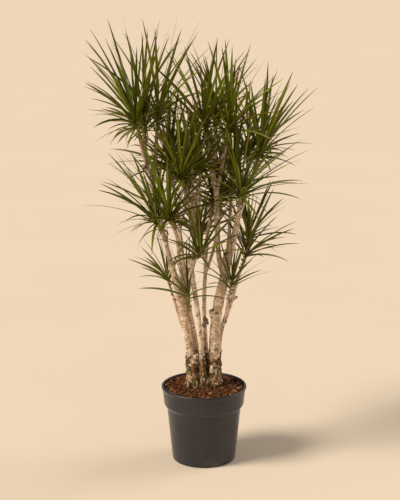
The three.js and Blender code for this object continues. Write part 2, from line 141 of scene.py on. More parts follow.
HEADS: list[tuple[str, float, int, float]] = [  # limb, leaf length, main leaves, fullness
    ("top_left_a", 345, 29, 0.6), ("top_left_b", 360, 28, 0.6), ("top_left_c", 380, 30, 0.6),
    ("top_middle_a", 300, 28, 0.6), ("top_middle_b", 290, 25, 0.6), ("top_middle_c", 310, 28, 0.6),
    ("high_right", 310, 28, 0.65), ("far_right", 310, 24, 0.65), ("front_right", 320, 26, 0.65),
    ("back_right", 320, 22, 0.65), ("inner_left", 300, 25, 1.4), ("back_left", 290, 20, 1.8),
    ("back_middle", 300, 22, 1.9), ("back_branch", 310, 22, 1.9), ("fork_left", 280, 19, 1.2),
    ("fork_middle", 280, 18, 1.2), ("fork_right", 280, 19, 1.2), ("front_left", 320, 25, 1.1),
    ("side_left", 300, 24, 0.5), ("low_right", 240, 20, 0.5), ("low_back", 225, 16, 0.6),
    ("back_low", 260, 18, 1.3), ("low_left", 185, 12, 0.3), ("front_shoot", 230, 12, 0.3),
    ("low_front", 200, 13, 0.4), ("centre_shoot", 250, 16, 0.6),
]


class Slot(Enum):
    """The record's material slots."""

    POT = "pot_plastic"
    SOIL = "soil_bark"
    CANE = "cane_bark"
    LEAF = "leaf_green"


# ---- numbers ----
class Draws:
    """Seeded draws from 0 to 1: every seed is the last one times 16807, modulo 2^31 - 1."""

    FACTOR = 16807
    MODULUS = 2147483647

    def __init__(self, seed: int) -> None:
        """Starts the row of draws at a seed."""
        self.seed = seed

    def next(self) -> float:
        """Gives the next draw."""
        self.seed = (self.seed * self.FACTOR) % self.MODULUS
        return self.seed / self.MODULUS


def mix(a: float | Array, b: float | Array, t: float | Array) -> float | Array:
    """Goes from a to b in a straight line as t goes from 0 to 1."""
    return a + (b - a) * t


def smooth(low: float, high: float, x: Array) -> Array:
    """Rises from 0 at low to 1 at high along the curve 3 t^2 - 2 t^3."""
    t = np.clip((x - low) / (high - low), 0, 1)
    return t * t * (3 - 2 * t)


def unit(v: Array) -> Array:
    """Scales vectors, the last axis, to length 1."""
    return v / np.linalg.norm(v, axis=-1, keepdims=True)


def turns(count: int) -> Array:
    """The angles of `count` equal steps round a circle, in radians from 0."""
    return np.arange(count) / count * 2 * math.pi


def headings(angle: Array) -> Array:
    """Level directions at angles from +X, in radians."""
    return np.stack([np.cos(angle), np.sin(angle), 0 * angle], -1)


def lathe(outline: Array, around: int) -> Array:
    """Places of an outline of [radius, height] that is turned round the vertical in equal steps."""
    places = headings(turns(around)) * outline[:, None, :1]
    places[..., 2] = outline[:, 1:]
    return places.reshape(-1, 3)


def crumple(points: Array, size: float, seed: int, waves: int = 11) -> Array:
    """A lumpy field from about -1 to 1: sine waves about `size` long, summed in seeded directions.

    Args:
        points: places, an (n, 3) array in millimetres.
        size: the usual length of a lump.
        seed: picks directions, lengths and phases.
        waves: how many waves are summed.

    Returns:
        One value for each place.
    """
    rng = np.random.default_rng(seed)
    ways = unit(rng.normal(size=(waves, 3))) / (size * rng.uniform(0.6, 1.5, (waves, 1)))
    phases = rng.uniform(0, 2 * math.pi, waves)
    return np.sin(2 * math.pi * points @ ways.T + phases).sum(1) / math.sqrt(waves)


# ---- meshes ----
@dataclass
class Skin:
    """A mesh as arrays: places in millimetres, four-cornered faces, and values at the places."""

    places: Array
    faces: Array
    values: dict[str, Array] = field(default_factory=dict)

    def __add__(self, other: "Skin") -> "Skin":
        """Puts two skins with the same value names in one."""
        faces = np.vstack([self.faces, other.faces + len(self.places)])
        values = {k: np.concatenate([v, other.values[k]]) for k, v in self.values.items()}
        return Skin(np.vstack([self.places, other.places]), faces, values)


def tube_faces(rows: int, around: int, count: int = 1) -> Array:
    """Faces of `count` closed tubes, each a grid of rows by `around`, without their ends.

    A tube's place number is row * around + step, and the ring runs anticlockwise as seen from
    its far end.
    """
    row, step = np.meshgrid(np.arange(rows - 1), np.arange(around), indexing="ij")
    here, nxt = row * around + step, row * around + (step + 1) % around
    one = np.stack([here, nxt, nxt + around, here + around], -1).reshape(-1, 4)
    return (one[None] + (np.arange(count) * rows * around)[:, None, None]).reshape(-1, 4)


def closed_tube(places: Array, rows: int, around: int) -> Skin:
    """Closes a tube's ends with a middle place each; a cap's triangles repeat their last corner.

    Args:
        places: the tube's places, rows * around of them.
        rows: its rows.
        around: its steps round.

    Returns:
        The closed tube, without values.
    """
    step = np.arange(around)
    after, last = (step + 1) % around, (rows - 1) * around
    low, high = np.full(around, rows * around), np.full(around, rows * around + 1)
    ends = places[:around].mean(0), places[last:].mean(0)
    faces = np.vstack([tube_faces(rows, around), np.stack([after, step, low, low], 1),
                       np.stack([last + step, last + after, high, high], 1)])
    return Skin(np.vstack([places, *ends]), faces)


def read_rows(items: bpy.types.bpy_prop_collection, key: str, wide: int, kind: type = np.float32
              ) -> Array:
    """Reads a property of `wide` numbers from all items, one row for each."""
    numbers = np.empty(len(items) * wide, kind)
    items.foreach_get(key, numbers)
    return numbers.reshape(-1, wide)


def write_places(mesh: bpy.types.Mesh, places: Array) -> None:
    """Moves a mesh's vertices to places in millimetres."""
    mesh.vertices.foreach_set("co", (places * MM).astype(np.float32).reshape(-1))


def write_values(mesh: bpy.types.Mesh, values: dict[str, Array]) -> None:
    """Gives a mesh its values at the vertices, each a number or a vector."""
    for key, value in values.items():
        kind, which = ("FLOAT", "value") if value.ndim == 1 else ("FLOAT_VECTOR", "vector")
        layer = mesh.attributes.new(key, kind, "POINT")
        layer.data.foreach_set(which, value.astype(np.float32).reshape(-1))


def make_object(name: str, mesh: bpy.types.Mesh) -> bpy.types.Object:
    """Makes an object of a mesh and links it to the scene."""
    made = bpy.data.objects.new(name, mesh)
    bpy.context.scene.collection.objects.link(made)
    return made


def make_mesh(name: str, skin: Skin, flat: bool = False) -> bpy.types.Object:
    """Makes a finished object at the origin from a skin; a face's repeated corner is dropped.

    Args:
        name: the piece's name.
        skin: its places, faces and values.
        flat: whether each face is shaded flat.

    Returns:
        The object, linked to the scene.
    """
    mesh = bpy.data.meshes.new(name)
    totals = np.where(skin.faces[:, 2] == skin.faces[:, 3], 3, 4)
    corners = skin.faces.reshape(-1)[(np.arange(4)[None] < totals[:, None]).reshape(-1)]
    mesh.vertices.add(len(skin.places))
    write_places(mesh, skin.places)
    mesh.loops.add(len(corners))
    mesh.loops.foreach_set("vertex_index", corners.astype(np.int32))
    mesh.polygons.add(len(totals))
    starts = np.concatenate([[0], np.cumsum(totals)[:-1]]).astype(np.int32)
    mesh.polygons.foreach_set("loop_start", starts)
    mesh.update(calc_edges=True)
    mesh.validate()
    if not flat:
        mesh.shade_smooth()
    write_values(mesh, skin.values)
    return make_object(name, mesh)


def applied(piece: bpy.types.Object) -> bpy.types.Mesh:
    """A new mesh of the piece with its modifiers applied."""
    bpy.context.view_layer.update()
    ready = piece.evaluated_get(bpy.context.evaluated_depsgraph_get())
    return bpy.data.meshes.new_from_object(ready)


def dress(piece: bpy.types.Object, slot: Slot, finish: bpy.types.Material, *nodes: str) -> None:
    """Gives a piece its finish, hangs it on the root body, hides the parts that it stands for and
    logs its faces.
    """
    piece.data.materials.clear()
    piece.data.materials.append(finish)
    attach(piece, "root")
    if nodes:
        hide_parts(*nodes)
    log.info("%s: %d faces", piece.name, len(piece.data.polygons))


# ---- shader maths ----
Link = bpy.types.NodeSocket
Number = "float | Wire"


class Wire:
    """One number in a node tree; the operators add Math nodes."""

    def __init__(self, paint: "Paint", socket: Link) -> None:
        """Wraps a number's output socket."""
        self.paint = paint
        self.socket = socket

    def _math(self, operation: str, *terms: Number) -> "Wire":
        """Adds a Math node with these terms."""
        node = self.paint.node("ShaderNodeMath", {"operation": operation}, dict(enumerate(terms)))
        return Wire(self.paint, node.outputs[0])

    def __add__(self, other: Number) -> "Wire":
        """Sum."""
        return self._math("ADD", self, other)

    def __sub__(self, other: Number) -> "Wire":
        """Difference."""
        return self._math("SUBTRACT", self, other)

    def __rsub__(self, other: float) -> "Wire":
        """Difference from a plain number."""
        return self._math("SUBTRACT", other, self)

    def __mul__(self, other: Number) -> "Wire":
        """Product."""
        return self._math("MULTIPLY", self, other)

    def __truediv__(self, other: Number) -> "Wire":
        """Quotient."""
        return self._math("DIVIDE", self, other)

    def __rtruediv__(self, other: float) -> "Wire":
        """Quotient of a plain number."""
        return self._math("DIVIDE", other, self)

    __radd__ = __add__
    __rmul__ = __mul__

    def sine(self) -> "Wire":
        """Sine."""
        return self._math("SINE", self)

    def least(self, other: Number) -> "Wire":
        """The smaller of two."""
        return self._math("MINIMUM", self, other)

    def most(self, other: Number) -> "Wire":
        """The larger of two."""
        return self._math("MAXIMUM", self, other)

    def step(self, low: float, high: float) -> "Wire":
        """Goes smoothly from 0 at low to 1 at high, and low may be the larger."""
        flip = low > high
        settings = {"interpolation_type": "SMOOTHSTEP"}
        ends = {1: high if flip else low, 2: low if flip else high}
        node = self.paint.node("ShaderNodeMapRange", settings, {0: self, **ends})
        risen = Wire(self.paint, node.outputs[0])
        return 1 - risen if flip else risen


class Paint:
    """A material that is built as a node tree."""

    def __init__(self, name: str) -> None:
        """Starts an empty material."""
        self.material = bpy.data.materials.new(name)
        self.material.use_nodes = True
        self.tree = self.material.node_tree
        self.tree.nodes.clear()

    def node(self, kind: str, settings: dict[str, object], inputs: dict[int | str, object]
             ) -> bpy.types.Node:
        """Adds a node of any type.

        Args:
            kind: the node's type.
            settings: its properties, set first.
            inputs: for each input its value, or the socket or number that is linked to it.

        Returns:
            The node.
        """
        made = self.tree.nodes.new(kind)
        for key, value in settings.items():
            setattr(made, key, value)
        for key, value in inputs.items():
            source = value.socket if isinstance(value, Wire) else value
            if isinstance(source, bpy.types.NodeSocket):
                self.tree.links.new(source, made.inputs[key])
            else:
                made.inputs[key].default_value = source
        return made

    def place(self) -> Link:
        """The place on the piece, in metres."""
        return self.node("ShaderNodeTexCoord", {}, {}).outputs["Object"]

    def height(self) -> Wire:
        """The height over the floor, in metres."""
        split = self.node("ShaderNodeSeparateXYZ", {}, {0: self.place()})
        return Wire(self, split.outputs[2])

    def value(self, name: str) -> Wire:
        """A number that the mesh carries."""
        return Wire(self, self.node("ShaderNodeAttribute", {"attribute_name": name}, {}).outputs[2])

    def vector(self, name: str) -> Link:
        """A vector that the mesh carries."""
        return self.node("ShaderNodeAttribute", {"attribute_name": name}, {}).outputs[1]

    def stretch(self, vector: Link, x: float, y: float, z: float) -> Link:
        """A vector times one number for each axis."""
        settings = {"operation": "MULTIPLY"}
        return self.node("ShaderNodeVectorMath", settings, {0: vector, 1: (x, y, z)}).outputs[0]

    def join(self, x: Number, y: Number, z: Number) -> Link:
        """A vector from three numbers."""
        return self.node("ShaderNodeCombineXYZ", {}, {0: x, 1: y, 2: z}).outputs[0]

    def noise(self, vector: Link, scale: float, detail: float = 3, rough: float = 0.55) -> Wire:
        """Noise from 0 to 1 with lumps 1 / scale long."""
        inputs = {"Vector": vector, "Scale": scale, "Detail": detail, "Roughness": rough}
        return Wire(self, self.node("ShaderNodeTexNoise", {}, inputs).outputs[0])

    def cells(self, vector: Link, scale: float) -> Wire:
        """Distance to the middles of a pattern of cells 1 / scale wide."""
        inputs = {"Vector": vector, "Scale": scale}
        return Wire(self, self.node("ShaderNodeTexVoronoi", {"feature": "F1"}, inputs).outputs[0])

    def blend(self, share: Number, a: Tint | Link, b: Tint | Link) -> Link:
        """Colour a where the share is 0 and colour b where it is 1."""
        colours = [(*c, 1.0) if isinstance(c, tuple) else c for c in (a, b)]
        settings = {"data_type": "RGBA"}
        inputs = {0: share, 6: colours[0], 7: colours[1]}
        return self.node("ShaderNodeMix", settings, inputs).outputs[2]

    def bump(self, height: Wire, depth: float) -> Link:
        """A normal bent by a height from 0 to 1 that is `depth` millimetres deep."""
        inputs = {"Height": height, "Distance": depth * MM, "Strength": 1.0}
        return self.node("ShaderNodeBump", {}, inputs).outputs[0]

    def finish(self, **sockets: object) -> bpy.types.Material:
        """Ends in a Principled BSDF; sockets are named with _ for a space."""
        inputs = {key.replace("_", " "): value for key, value in sockets.items()}
        shader = self.node("ShaderNodeBsdfPrincipled", {}, inputs)
        self.node("ShaderNodeOutputMaterial", {}, {0: shader.outputs[0]})
        return self.material


@dataclass(frozen=True)
class PotPlastic:
    """Matt charcoal plastic with a fine moulded grain, faintly clouded and dusty at the foot."""

    dark: Tint = (0.0150, 0.0142, 0.0208)
    worn: Tint = (0.0218, 0.0205, 0.0290)
    dust: Tint = (0.16, 0.13, 0.10)

    def material(self) -> bpy.types.Material:
        """Clouds of two greys, dust low down, and a fine grain in the bump."""
        p = Paint("pot_plastic")
        place = p.place()
        clouds = p.noise(place, 9, 4)
        grain = p.noise(place, 900, 2)
        dusty = p.height().step(0.05, 0.0) * p.noise(place, 22, 5).step(0.45, 0.75) * 0.45
        body = p.blend(clouds.step(0.35, 0.7), self.dark, self.worn)
        rough = clouds * 0.10 + grain * 0.08 + dusty * 0.3 + 0.30
        return p.finish(Base_Color=p.blend(dusty, body, self.dust), Roughness=rough,
                        Normal=p.bump(grain, 0.12), Sheen_Weight=0.30, Sheen_Roughness=0.3)


@dataclass(frozen=True)
class BarkMulch:
    """Bark chips and coir: each chip has its own brown, from nearly black to reddish tan."""

    name: str = "bark_mulch"
    deep: Tint = (0.010, 0.004, 0.002)
    red: Tint = (0.172, 0.060, 0.019)
    tan: Tint = (0.44, 0.22, 0.095)

    def material(self) -> bpy.types.Material:
        """The chip's tone picks its brown; fibres run along it and darken it in streaks."""
        p = Paint(self.name)
        place = p.place()
        tone = p.value("tone")
        streaks = p.noise(p.stretch(place, 1, 1, 3), 420, 4)
        brown = p.blend((tone + streaks * 0.35 - 0.17).step(0.10, 0.74), self.deep, self.red)
        pale = p.blend((tone + streaks * 0.3 - 0.15).step(0.72, 1.0), brown, self.tan)
        return p.finish(Base_Color=pale, Roughness=streaks * 0.2 + 0.72, Normal=p.bump(streaks, 0.5),
                        Specular_IOR_Level=0.2)


@dataclass(frozen=True)
class Moss:
    """Dull moss, from dark brownish olive to yellow green."""

    dark: Tint = (0.035, 0.030, 0.008)
    green: Tint = (0.17, 0.17, 0.022)

    def material(self) -> bpy.types.Material:
        """Each crumb has its own green."""
        p = Paint("moss")
        clouds = p.noise(p.place(), 60, 3)
        share = (p.value("tone") * 0.7 + clouds * 0.6 - 0.15).step(0.05, 0.85)
        return p.finish(Base_Color=p.blend(share, self.dark, self.green), Roughness=0.95)


@dataclass(frozen=True)
class CaneBark:
    """Pinkish beige bark with brown leaf scars and specks, mossy and dark above the soil, with
    painted shade in its cracks there.
    """

    name: str = "cane_bark"
    pale: Tint = (0.92, 0.74, 0.57)
    buff: Tint = (0.55, 0.375, 0.24)
    brown: Tint = (0.060, 0.028, 0.009)
    moss: Tint = (0.150, 0.130, 0.030)
    tan: Tint = (0.74, 0.53, 0.34)
    umber: Tint = (0.27, 0.17, 0.085)
    # near-black: the crumbly band's own colour, and painted shade in the cracks of the low bark
    black_crust_and_crack_shade: Tint = (0.028, 0.017, 0.009)
    green: Tint = (0.22, 0.24, 0.08)

    def material(self) -> bpy.types.Material:
        """Patches, specks and scars along the cane's own straightened coordinates, in centimetres."""
        p = Paint(self.name)
        along = p.vector("grain")
        patches = p.noise(along, 0.55, 5, 0.6)
        fine = p.noise(p.stretch(along, 1, 1, 2.2), 3.2, 4, 0.6)
        specks = p.cells(p.stretch(along, 1, 1, 0.7), 2.0).step(0.36, 0.14)
        crumbs = p.noise(p.stretch(along, 1, 1, 0.8), 1.9, 4, 0.7).step(0.53, 0.62)
        scars = p.value("scar")
        base = p.blend(patches.step(0.36, 0.68), self.pale, self.buff)
        scarred = p.blend((scars * (fine * 1.1 + 0.35)).least(0.9), base, self.brown)
        flecks = (specks * patches.step(0.36, 0.56) * 0.7).most(crumbs * 0.62)
        flecked = p.blend(flecks.least(1.0), scarred, self.brown)
        young = p.blend(p.value("youth").step(0.75, 1.0) * 0.5, flecked, self.green)
        height = p.height() + (p.noise(p.place(), 16, 2) - 0.5) * 0.24
        low = height.step(0.42, 0.34)
        old = p.blend(low * 0.75, young, p.blend(patches.step(0.40, 0.60), self.tan, self.umber))
        band = height.step(0.30, 0.36) * height.step(0.44, 0.38)
        # painted shade: cracks in the low bark are painted near-black, as shade in crevices; in the
        # band the near-black is the crumbly bark's own colour
        crack_shade = p.noise(p.stretch(along, 1.5, 1.5, 0.5), 1.5, 3, 0.6).step(0.54, 0.62)
        crust_and_crack_shade = (band * p.noise(along, 1.1, 4).step(0.46, 0.60)).most(low * crack_shade)
        dark = p.blend(crust_and_crack_shade * 0.75, old, self.black_crust_and_crack_shade)
        mossy = p.blend(low * p.noise(along, 0.5, 5).step(0.50, 0.62) * 0.8, dark, self.moss)
        relief = fine * 0.7 + patches * 0.5 - scars * 0.6 - crust_and_crack_shade * 0.6
        return p.finish(Base_Color=mossy, Roughness=fine * 0.15 + 0.74, Normal=p.bump(relief, 1.1),
                        Specular_IOR_Level=0.3)


@dataclass(frozen=True)
class LeafBlade:
    """Deep olive blades with fine parallel veins, a thin dark red margin and pale clasping feet."""

    deep: Tint = (0.032, 0.052, 0.001)
    olive: Tint = (0.198, 0.270, 0.002)
    foot: Tint = (0.34, 0.34, 0.07)
    sheath: Tint = (0.13, 0.070, 0.028)
    margin: Tint = (0.150, 0.040, 0.010)
    dry: Tint = (0.30, 0.17, 0.07)

    def material(self) -> bpy.types.Material:
        """Colours go along the leaf from foot to point, and across it from middle to margin."""
        p = Paint("leaf_blade")
        along, inset, across = p.value("along"), p.value("inset"), p.value("across")
        tone, age = p.value("tone"), p.value("age")
        streaks = p.noise(p.join(across * 1.6, along * 2.5, tone * 60), 1.0, 3)
        clouds = p.noise(p.join(across * 0.05, along * 3, tone * 90), 1.0, 2)
        share = tone * 0.55 + streaks * 0.35 + clouds * 0.4 - 0.2
        blade = p.blend(share.step(0.0, 0.9), self.deep, self.olive)
        foot = p.blend(age.step(0.10, 0.40), self.sheath, self.foot)
        footed = p.blend(along.step(0.16, 0.0), blade, foot)
        rusty = tone.step(0.55, 1.0) * 1.1 + 1.3
        rim = (inset / rusty).step(1.0, 0.4) * 0.92
        edged = p.blend(rim.least(along * 12 + 0.1), footed, self.margin)
        wilted = (along.step(0.90, 1.0) * (1 - age)).least(0.85)
        shed = p.blend(tone, self.sheath, self.dry)
        coloured = p.blend(age.step(-0.2, -0.8), p.blend(wilted, edged, self.dry), shed)
        veins = (across * 6.5 + streaks * 3).sine() * 0.5 + 0.5
        rough = streaks * 0.16 + veins * 0.05 + 0.32
        return p.finish(Base_Color=coloured, Roughness=rough, Normal=p.bump(veins, 0.05),
                        Specular_IOR_Level=0.20)


@dataclass(frozen=True)
class StudioFloor:
    """Plain pale floor."""

    pale: Tint = (0.79, 0.675, 0.56)

    def material(self) -> bpy.types.Material:
        """One pale colour, barely clouded."""
        p = Paint("studio_floor")
        clouds = p.noise(p.place(), 0.8, 3)
        shade = tuple(0.93 * c for c in self.pale)
        return p.finish(Base_Color=p.blend(clouds, shade, self.pale), Roughness=0.8)


# ---- canes ----
class Limb:
    """One stretch of a cane: a uniform Catmull-Rom curve through its points, round all along."""

    STEP = 0.0001
    ARCS = 200

    def __init__(self, points: list[list[float]]) -> None:
        """Keeps the points, and adds one beyond each end, mirrored in that end."""
        self.points = np.array(points, float)
        self.spans = len(points) - 1
        way = self.points[:, :3]
        self.way = np.vstack([2 * way[0] - way[1], way, 2 * way[-1] - way[-2]])

    def _span(self, t: Array) -> tuple[Array, Array]:
        """Which span each t from 0 to 1 is in, and how far along it."""
        along = np.asarray(t, float) * self.spans
        span = np.clip(np.floor(along).astype(int), 0, self.spans - 1)
        return span, along - span

    def at(self, t: Array) -> Array:
        """Places at t: the cubic with end slopes of half the chord between the neighbours."""
        span, w = self._span(t)
        a, b, c, d = (self.way[span + k] for k in range(4))
        w = w[..., None]
        s0, s1 = 0.5 * (c - a), 0.5 * (d - b)
        return b + s0 * w + (-3 * b + 3 * c - 2 * s0 - s1) * w**2 + (2 * b - 2 * c + s0 + s1) * w**3

    def tangent(self, t: Array) -> Array:
        """Directions at t, from two places close to each other."""
        t = np.asarray(t, float)
        return unit(self.at(np.minimum(t + self.STEP, 1)) - self.at(np.maximum(t - self.STEP, 0)))

    def radius(self, t: Array) -> Array:
        """Radii at t, straight between the points'."""
        span, w = self._span(t)
        r = self.points[:, 3]
        return mix(r[span], r[span + 1], w)

    def length(self) -> float:
        """The curve's length, as the sum of its short chords."""
        chords = np.diff(self.at(np.linspace(0, 1, self.ARCS + 1)), axis=0)
        return float(np.linalg.norm(chords, axis=1).sum())

    def ring(self, t: Array, angle: Array, spread: Array | float = 1.0) -> Array:
        """Places round the limb: its middle, plus the radius times `spread` at an angle round it."""
        side, other = cross_axes(self.tangent(t))
        r = (self.radius(t) * spread)[..., None]
        return self.at(t) + r * (side * np.sin(angle)[..., None] + other * np.cos(angle)[..., None])


def cross_axes(way: Array) -> tuple[Array, Array]:
    """Two directions square to each way: a fixed level direction crossed with it, and the rest."""
    side = unit(np.cross(np.array([0.8, 0.6, 0.0]), way))
    return side, np.cross(side, way)


def round_grid(length: float, cell: float, points: int) -> tuple[Array, Array, Array]:
    """Parameters t, angle and spread of rings on a round piece, on its skin and halfway in."""
    steps = math.ceil(length / cell)
    grid = np.meshgrid(np.arange(steps + 1) / steps, turns(points), np.array([1.0, 0.5]),
                       indexing="ij")
    return tuple(axis.reshape(-1) for axis in grid)


@dataclass
class Cane:
    """A rooted cane: its limbs are carried as round tubes, fused into one skin and barked."""

    name: str
    limbs: dict[str, Limb]
    bearing: frozenset[str]
    knots: list[tuple[float, float, float, float]]
    around: int = 20
    row: float = 5.0
    voxel: float = 1.8
    soil_level: float = 275.0
    low_limit: float = 420.0
    stretch_per_limb: float = 1700.0
    low_places: Array = field(default_factory=lambda: np.empty((0, 3)))
    low_normals: Array = field(default_factory=lambda: np.empty((0, 3)))

    def roots(self) -> list[Limb]:
        """Roots that leave each foot above the soil and dive under it, spread by seeded draws."""
        grown = []
        rng = np.random.default_rng(len(self.name))
        for limb in self.limbs.values():
            x, y, z, r = limb.points[0]
            if z > self.soil_level:
                continue
            count = 5 if r > 15 else 3
            for angle in (np.arange(count) + rng.uniform(-0.3, 0.3, count)) * 2 * math.pi / count:
                way = np.array([math.cos(angle), math.sin(angle)])
                rise, reach = rng.uniform(25, 60), rng.uniform(0.7, 1.3)
                girth = rng.uniform(0.24, 0.4)
                shape = [(0.35, 20 + rise, 0.9), (0.72, 8 + rise * 0.6, 1.1), (1.1, 6.0, 1.0),
                         (1.25 + 0.45 * reach, -6.0, 0.8), (1.3 + 0.9 * reach, -16.0, 0.5)]
                grown.append(Limb([[x + way[0] * out * r, y + way[1] * out * r,
                                    self.soil_level + up, girth * r * thick]
                                   for out, up, thick in shape]))
        return grown

    def tube(self, limb: Limb) -> Skin:
        """A limb's closed skin: rings of its radius carried along its curve, with capped ends."""
        rows = max(3, math.ceil(limb.length() / self.row))
        t, angle = np.meshgrid(np.linspace(0, 1, rows), -turns(self.around), indexing="ij")
        return closed_tube(limb.ring(t.reshape(-1), angle.reshape(-1)), rows, self.around)

    def fused(self) -> bpy.types.Object:
        """All limbs and roots remeshed into one closed skin, with the forks smoothed over."""
        knobs = [Limb([[x, y, z - 1.1 * r, 0.5 * r], [x, y, z, r], [x, y, z + r, 0.45 * r]])
                 for x, y, z, r in self.knots]
        parts = [self.tube(limb) for limb in [*self.limbs.values(), *self.roots(), *knobs]]
        whole = parts[0]
        for part in parts[1:]:
            whole = whole + part
        rough = make_mesh(self.name + "_rough", whole)
        remesh = rough.modifiers.new("fuse", "REMESH")
        remesh.mode = "VOXEL"
        remesh.voxel_size = self.voxel * MM
        soften = rough.modifiers.new("soften", "SMOOTH")
        soften.factor = 0.5
        soften.iterations = 4
        mesh = applied(rough)
        bpy.data.objects.remove(rough)
        mesh.name = self.name + "_skin"
        return make_object(mesh.name, mesh)

    def follow(self, places: Array) -> tuple[Array, Array, Array, Array]:
        """Straightened coordinates: the limb whose skin is nearest gives the way along it.

        Args:
            places: points on the fused skin, in millimetres.

        Returns:
            For each place the length along its limb, the angle round it, its radius there, and
            how near it is to a leafy end, from 0 to 1.
        """
        middles, radii, lengths, sides, others, youths = [], [], [], [], [], []
        for i, (name, limb) in enumerate(self.limbs.items()):
            t = np.linspace(0, 1, max(4, math.ceil(limb.length() / 3)))
            side, other = cross_axes(limb.tangent(t))
            run = limb.length()
            middles.append(limb.at(t))
            radii.append(limb.radius(t))
            lengths.append(t * run + i * self.stretch_per_limb)
            sides.append(side)
            others.append(other)
            leafy = smooth(90, 0, (1 - t) * run) if name in self.bearing else np.zeros_like(t)
            youths.append(leafy)
        middle, radius, length = map(np.concatenate, (middles, radii, lengths))
        side, other, youth = map(np.concatenate, (sides, others, youths))
        nearest = np.empty(len(places), int)
        for start in range(0, len(places), 4000):
            part = places[start:start + 4000]
            square = (part**2).sum(1)[:, None] + (middle**2).sum(1) - 2 * part @ middle.T
            nearest[start:start + 4000] = (np.sqrt(np.maximum(square, 0)) - radius).argmin(1)
        out = places - middle[nearest]
        angle = np.arctan2((out * side[nearest]).sum(1), (out * other[nearest]).sum(1))
        return length[nearest], angle, radius[nearest], youth[nearest]

    def relief(self, places: Array, length: Array, angle: Array, radius: Array, youth: Array
               ) -> tuple[Array, Array]:
        """How far the bark stands out, and how much of a leaf scar it is, at each place.

        Scars are thin rings that repeat along the cane, wander as they go round and break off.
        Between them the bark swells a little; lumps of two sizes come on top, and near the soil
        finer ones that are drawn out along the cane. A knot counts as one scar.

        Args:
            places: points on the fused skin, in millimetres.
            length: their length along the limb.
            angle: their angle round it.
            radius: its radius there.
            youth: how near they are to a leafy end, from 0 to 1.

        Returns:
            The lift in millimetres and the scar's share, from 0 to 1.
        """
        spacing = mix(7.0, 13.0, smooth(5, 20, radius)) * mix(1, 0.7, youth)
        rings = length / spacing
        rings += 0.30 * np.sin(angle + 1.9 * np.floor(rings)) + 0.12 * np.sin(2 * angle + rings)
        across = np.abs(rings - np.floor(rings) - 0.5) * 2
        broken = 0.55 + 0.45 * crumple(places, 16, 3)
        scar = smooth(0.70, 1.0, across) * np.clip(broken, 0, 1)
        for *middle, size in self.knots:
            near = smooth(1.7, 1.1, np.linalg.norm(places - middle, axis=1) / size)
            scar = np.maximum(scar, near * (0.7 + 0.3 * crumple(places, 6, 8)))
        low = smooth(430, 300, places[:, 2])
        girth = np.clip(radius / 20, 0.25, 1)
        lift = -0.75 * scar * mix(0.8, 1.2, girth) + 0.35 * (1 - across)
        lift += girth * (1.1 * crumple(places, 46, 4) + 0.5 * crumple(places, 15, 5))
        lift += low * (1.3 * crumple(places * [1, 1, 0.45], 8, 6) + 0.9 * crumple(places, 22, 7))
        return lift, scar

    def build(self, bark: bpy.types.Material) -> None:
        """Fuses the limbs, presses the relief into the skin, barks it and keeps its lowest part."""
        piece = self.fused()
        mesh = piece.data
        places = read_rows(mesh.vertices, "co", 3).astype(float) / MM
        normals = read_rows(mesh.vertex_normals, "vector", 3)
        length, angle, radius, youth = self.follow(places)
        lift, scar = self.relief(places, length, angle, radius, youth)
        places = places + normals * lift[:, None]
        low_skin = (places[:, 2] > self.soil_level) & (places[:, 2] < self.low_limit)
        self.low_places, self.low_normals = places[low_skin], normals[low_skin]
        write_places(mesh, places)
        grain = np.stack([radius * np.cos(angle), radius * np.sin(angle), length], 1) / 10
        write_values(mesh, {"grain": grain, "scar": scar, "youth": youth})
        mesh.update()
        mesh.shade_smooth()
        dress(piece, Slot.CANE, bark, self.name)


# ---- leaves ----
@dataclass
class Room:
    """The air round the plant in small cells, each free or held by a head (its number) or by wood."""

    cell: float
    margin: int
    reach: float = 640.0
    top: float = 1800.0
    crowded_root: float = 36.0
    WOOD = 255

    def __post_init__(self) -> None:
        """Starts with every cell free."""
        self.wide = math.ceil(2 * self.reach / self.cell)
        self.tall = math.ceil(self.top / self.cell)
        self.taken = np.zeros(self.wide * self.wide * self.tall, np.uint8)
        near = np.arange(-self.margin, self.margin + 1)
        i, j, k = np.meshgrid(near, near, near, indexing="ij")
        self.near = ((i * self.wide + j) * self.tall + k).reshape(-1)

    def cells(self, points: Array) -> Array:
        """The number of the cell that each point is in."""
        i = np.floor((points[:, 0] + self.reach) / self.cell).astype(np.int64)
        j = np.floor((points[:, 1] + self.reach) / self.cell).astype(np.int64)
        k = np.floor(points[:, 2] / self.cell).astype(np.int64)
        return (i * self.wide + j) * self.tall + k

    def claim(self, points: Array, owner: int) -> None:
        """Gives the free cells at and next to the points to an owner."""
        cells = np.unique(np.unique(self.cells(points))[:, None] + self.near)
        self.taken[cells[self.taken[cells] == 0]] = owner

    def is_free(self, points: Array, owner: int, root: Array) -> bool:
        """Whether a leaf may lie here; near its root it may pass its own head and the wood."""
        holder = self.taken[self.cells(points)]
        if not holder.any():
            return True
        close = np.linalg.norm(points - root, axis=1) < self.crowded_root
        own = ((holder == owner) | (holder == self.WOOD)) & close
        return bool(((holder == 0) | own).all())


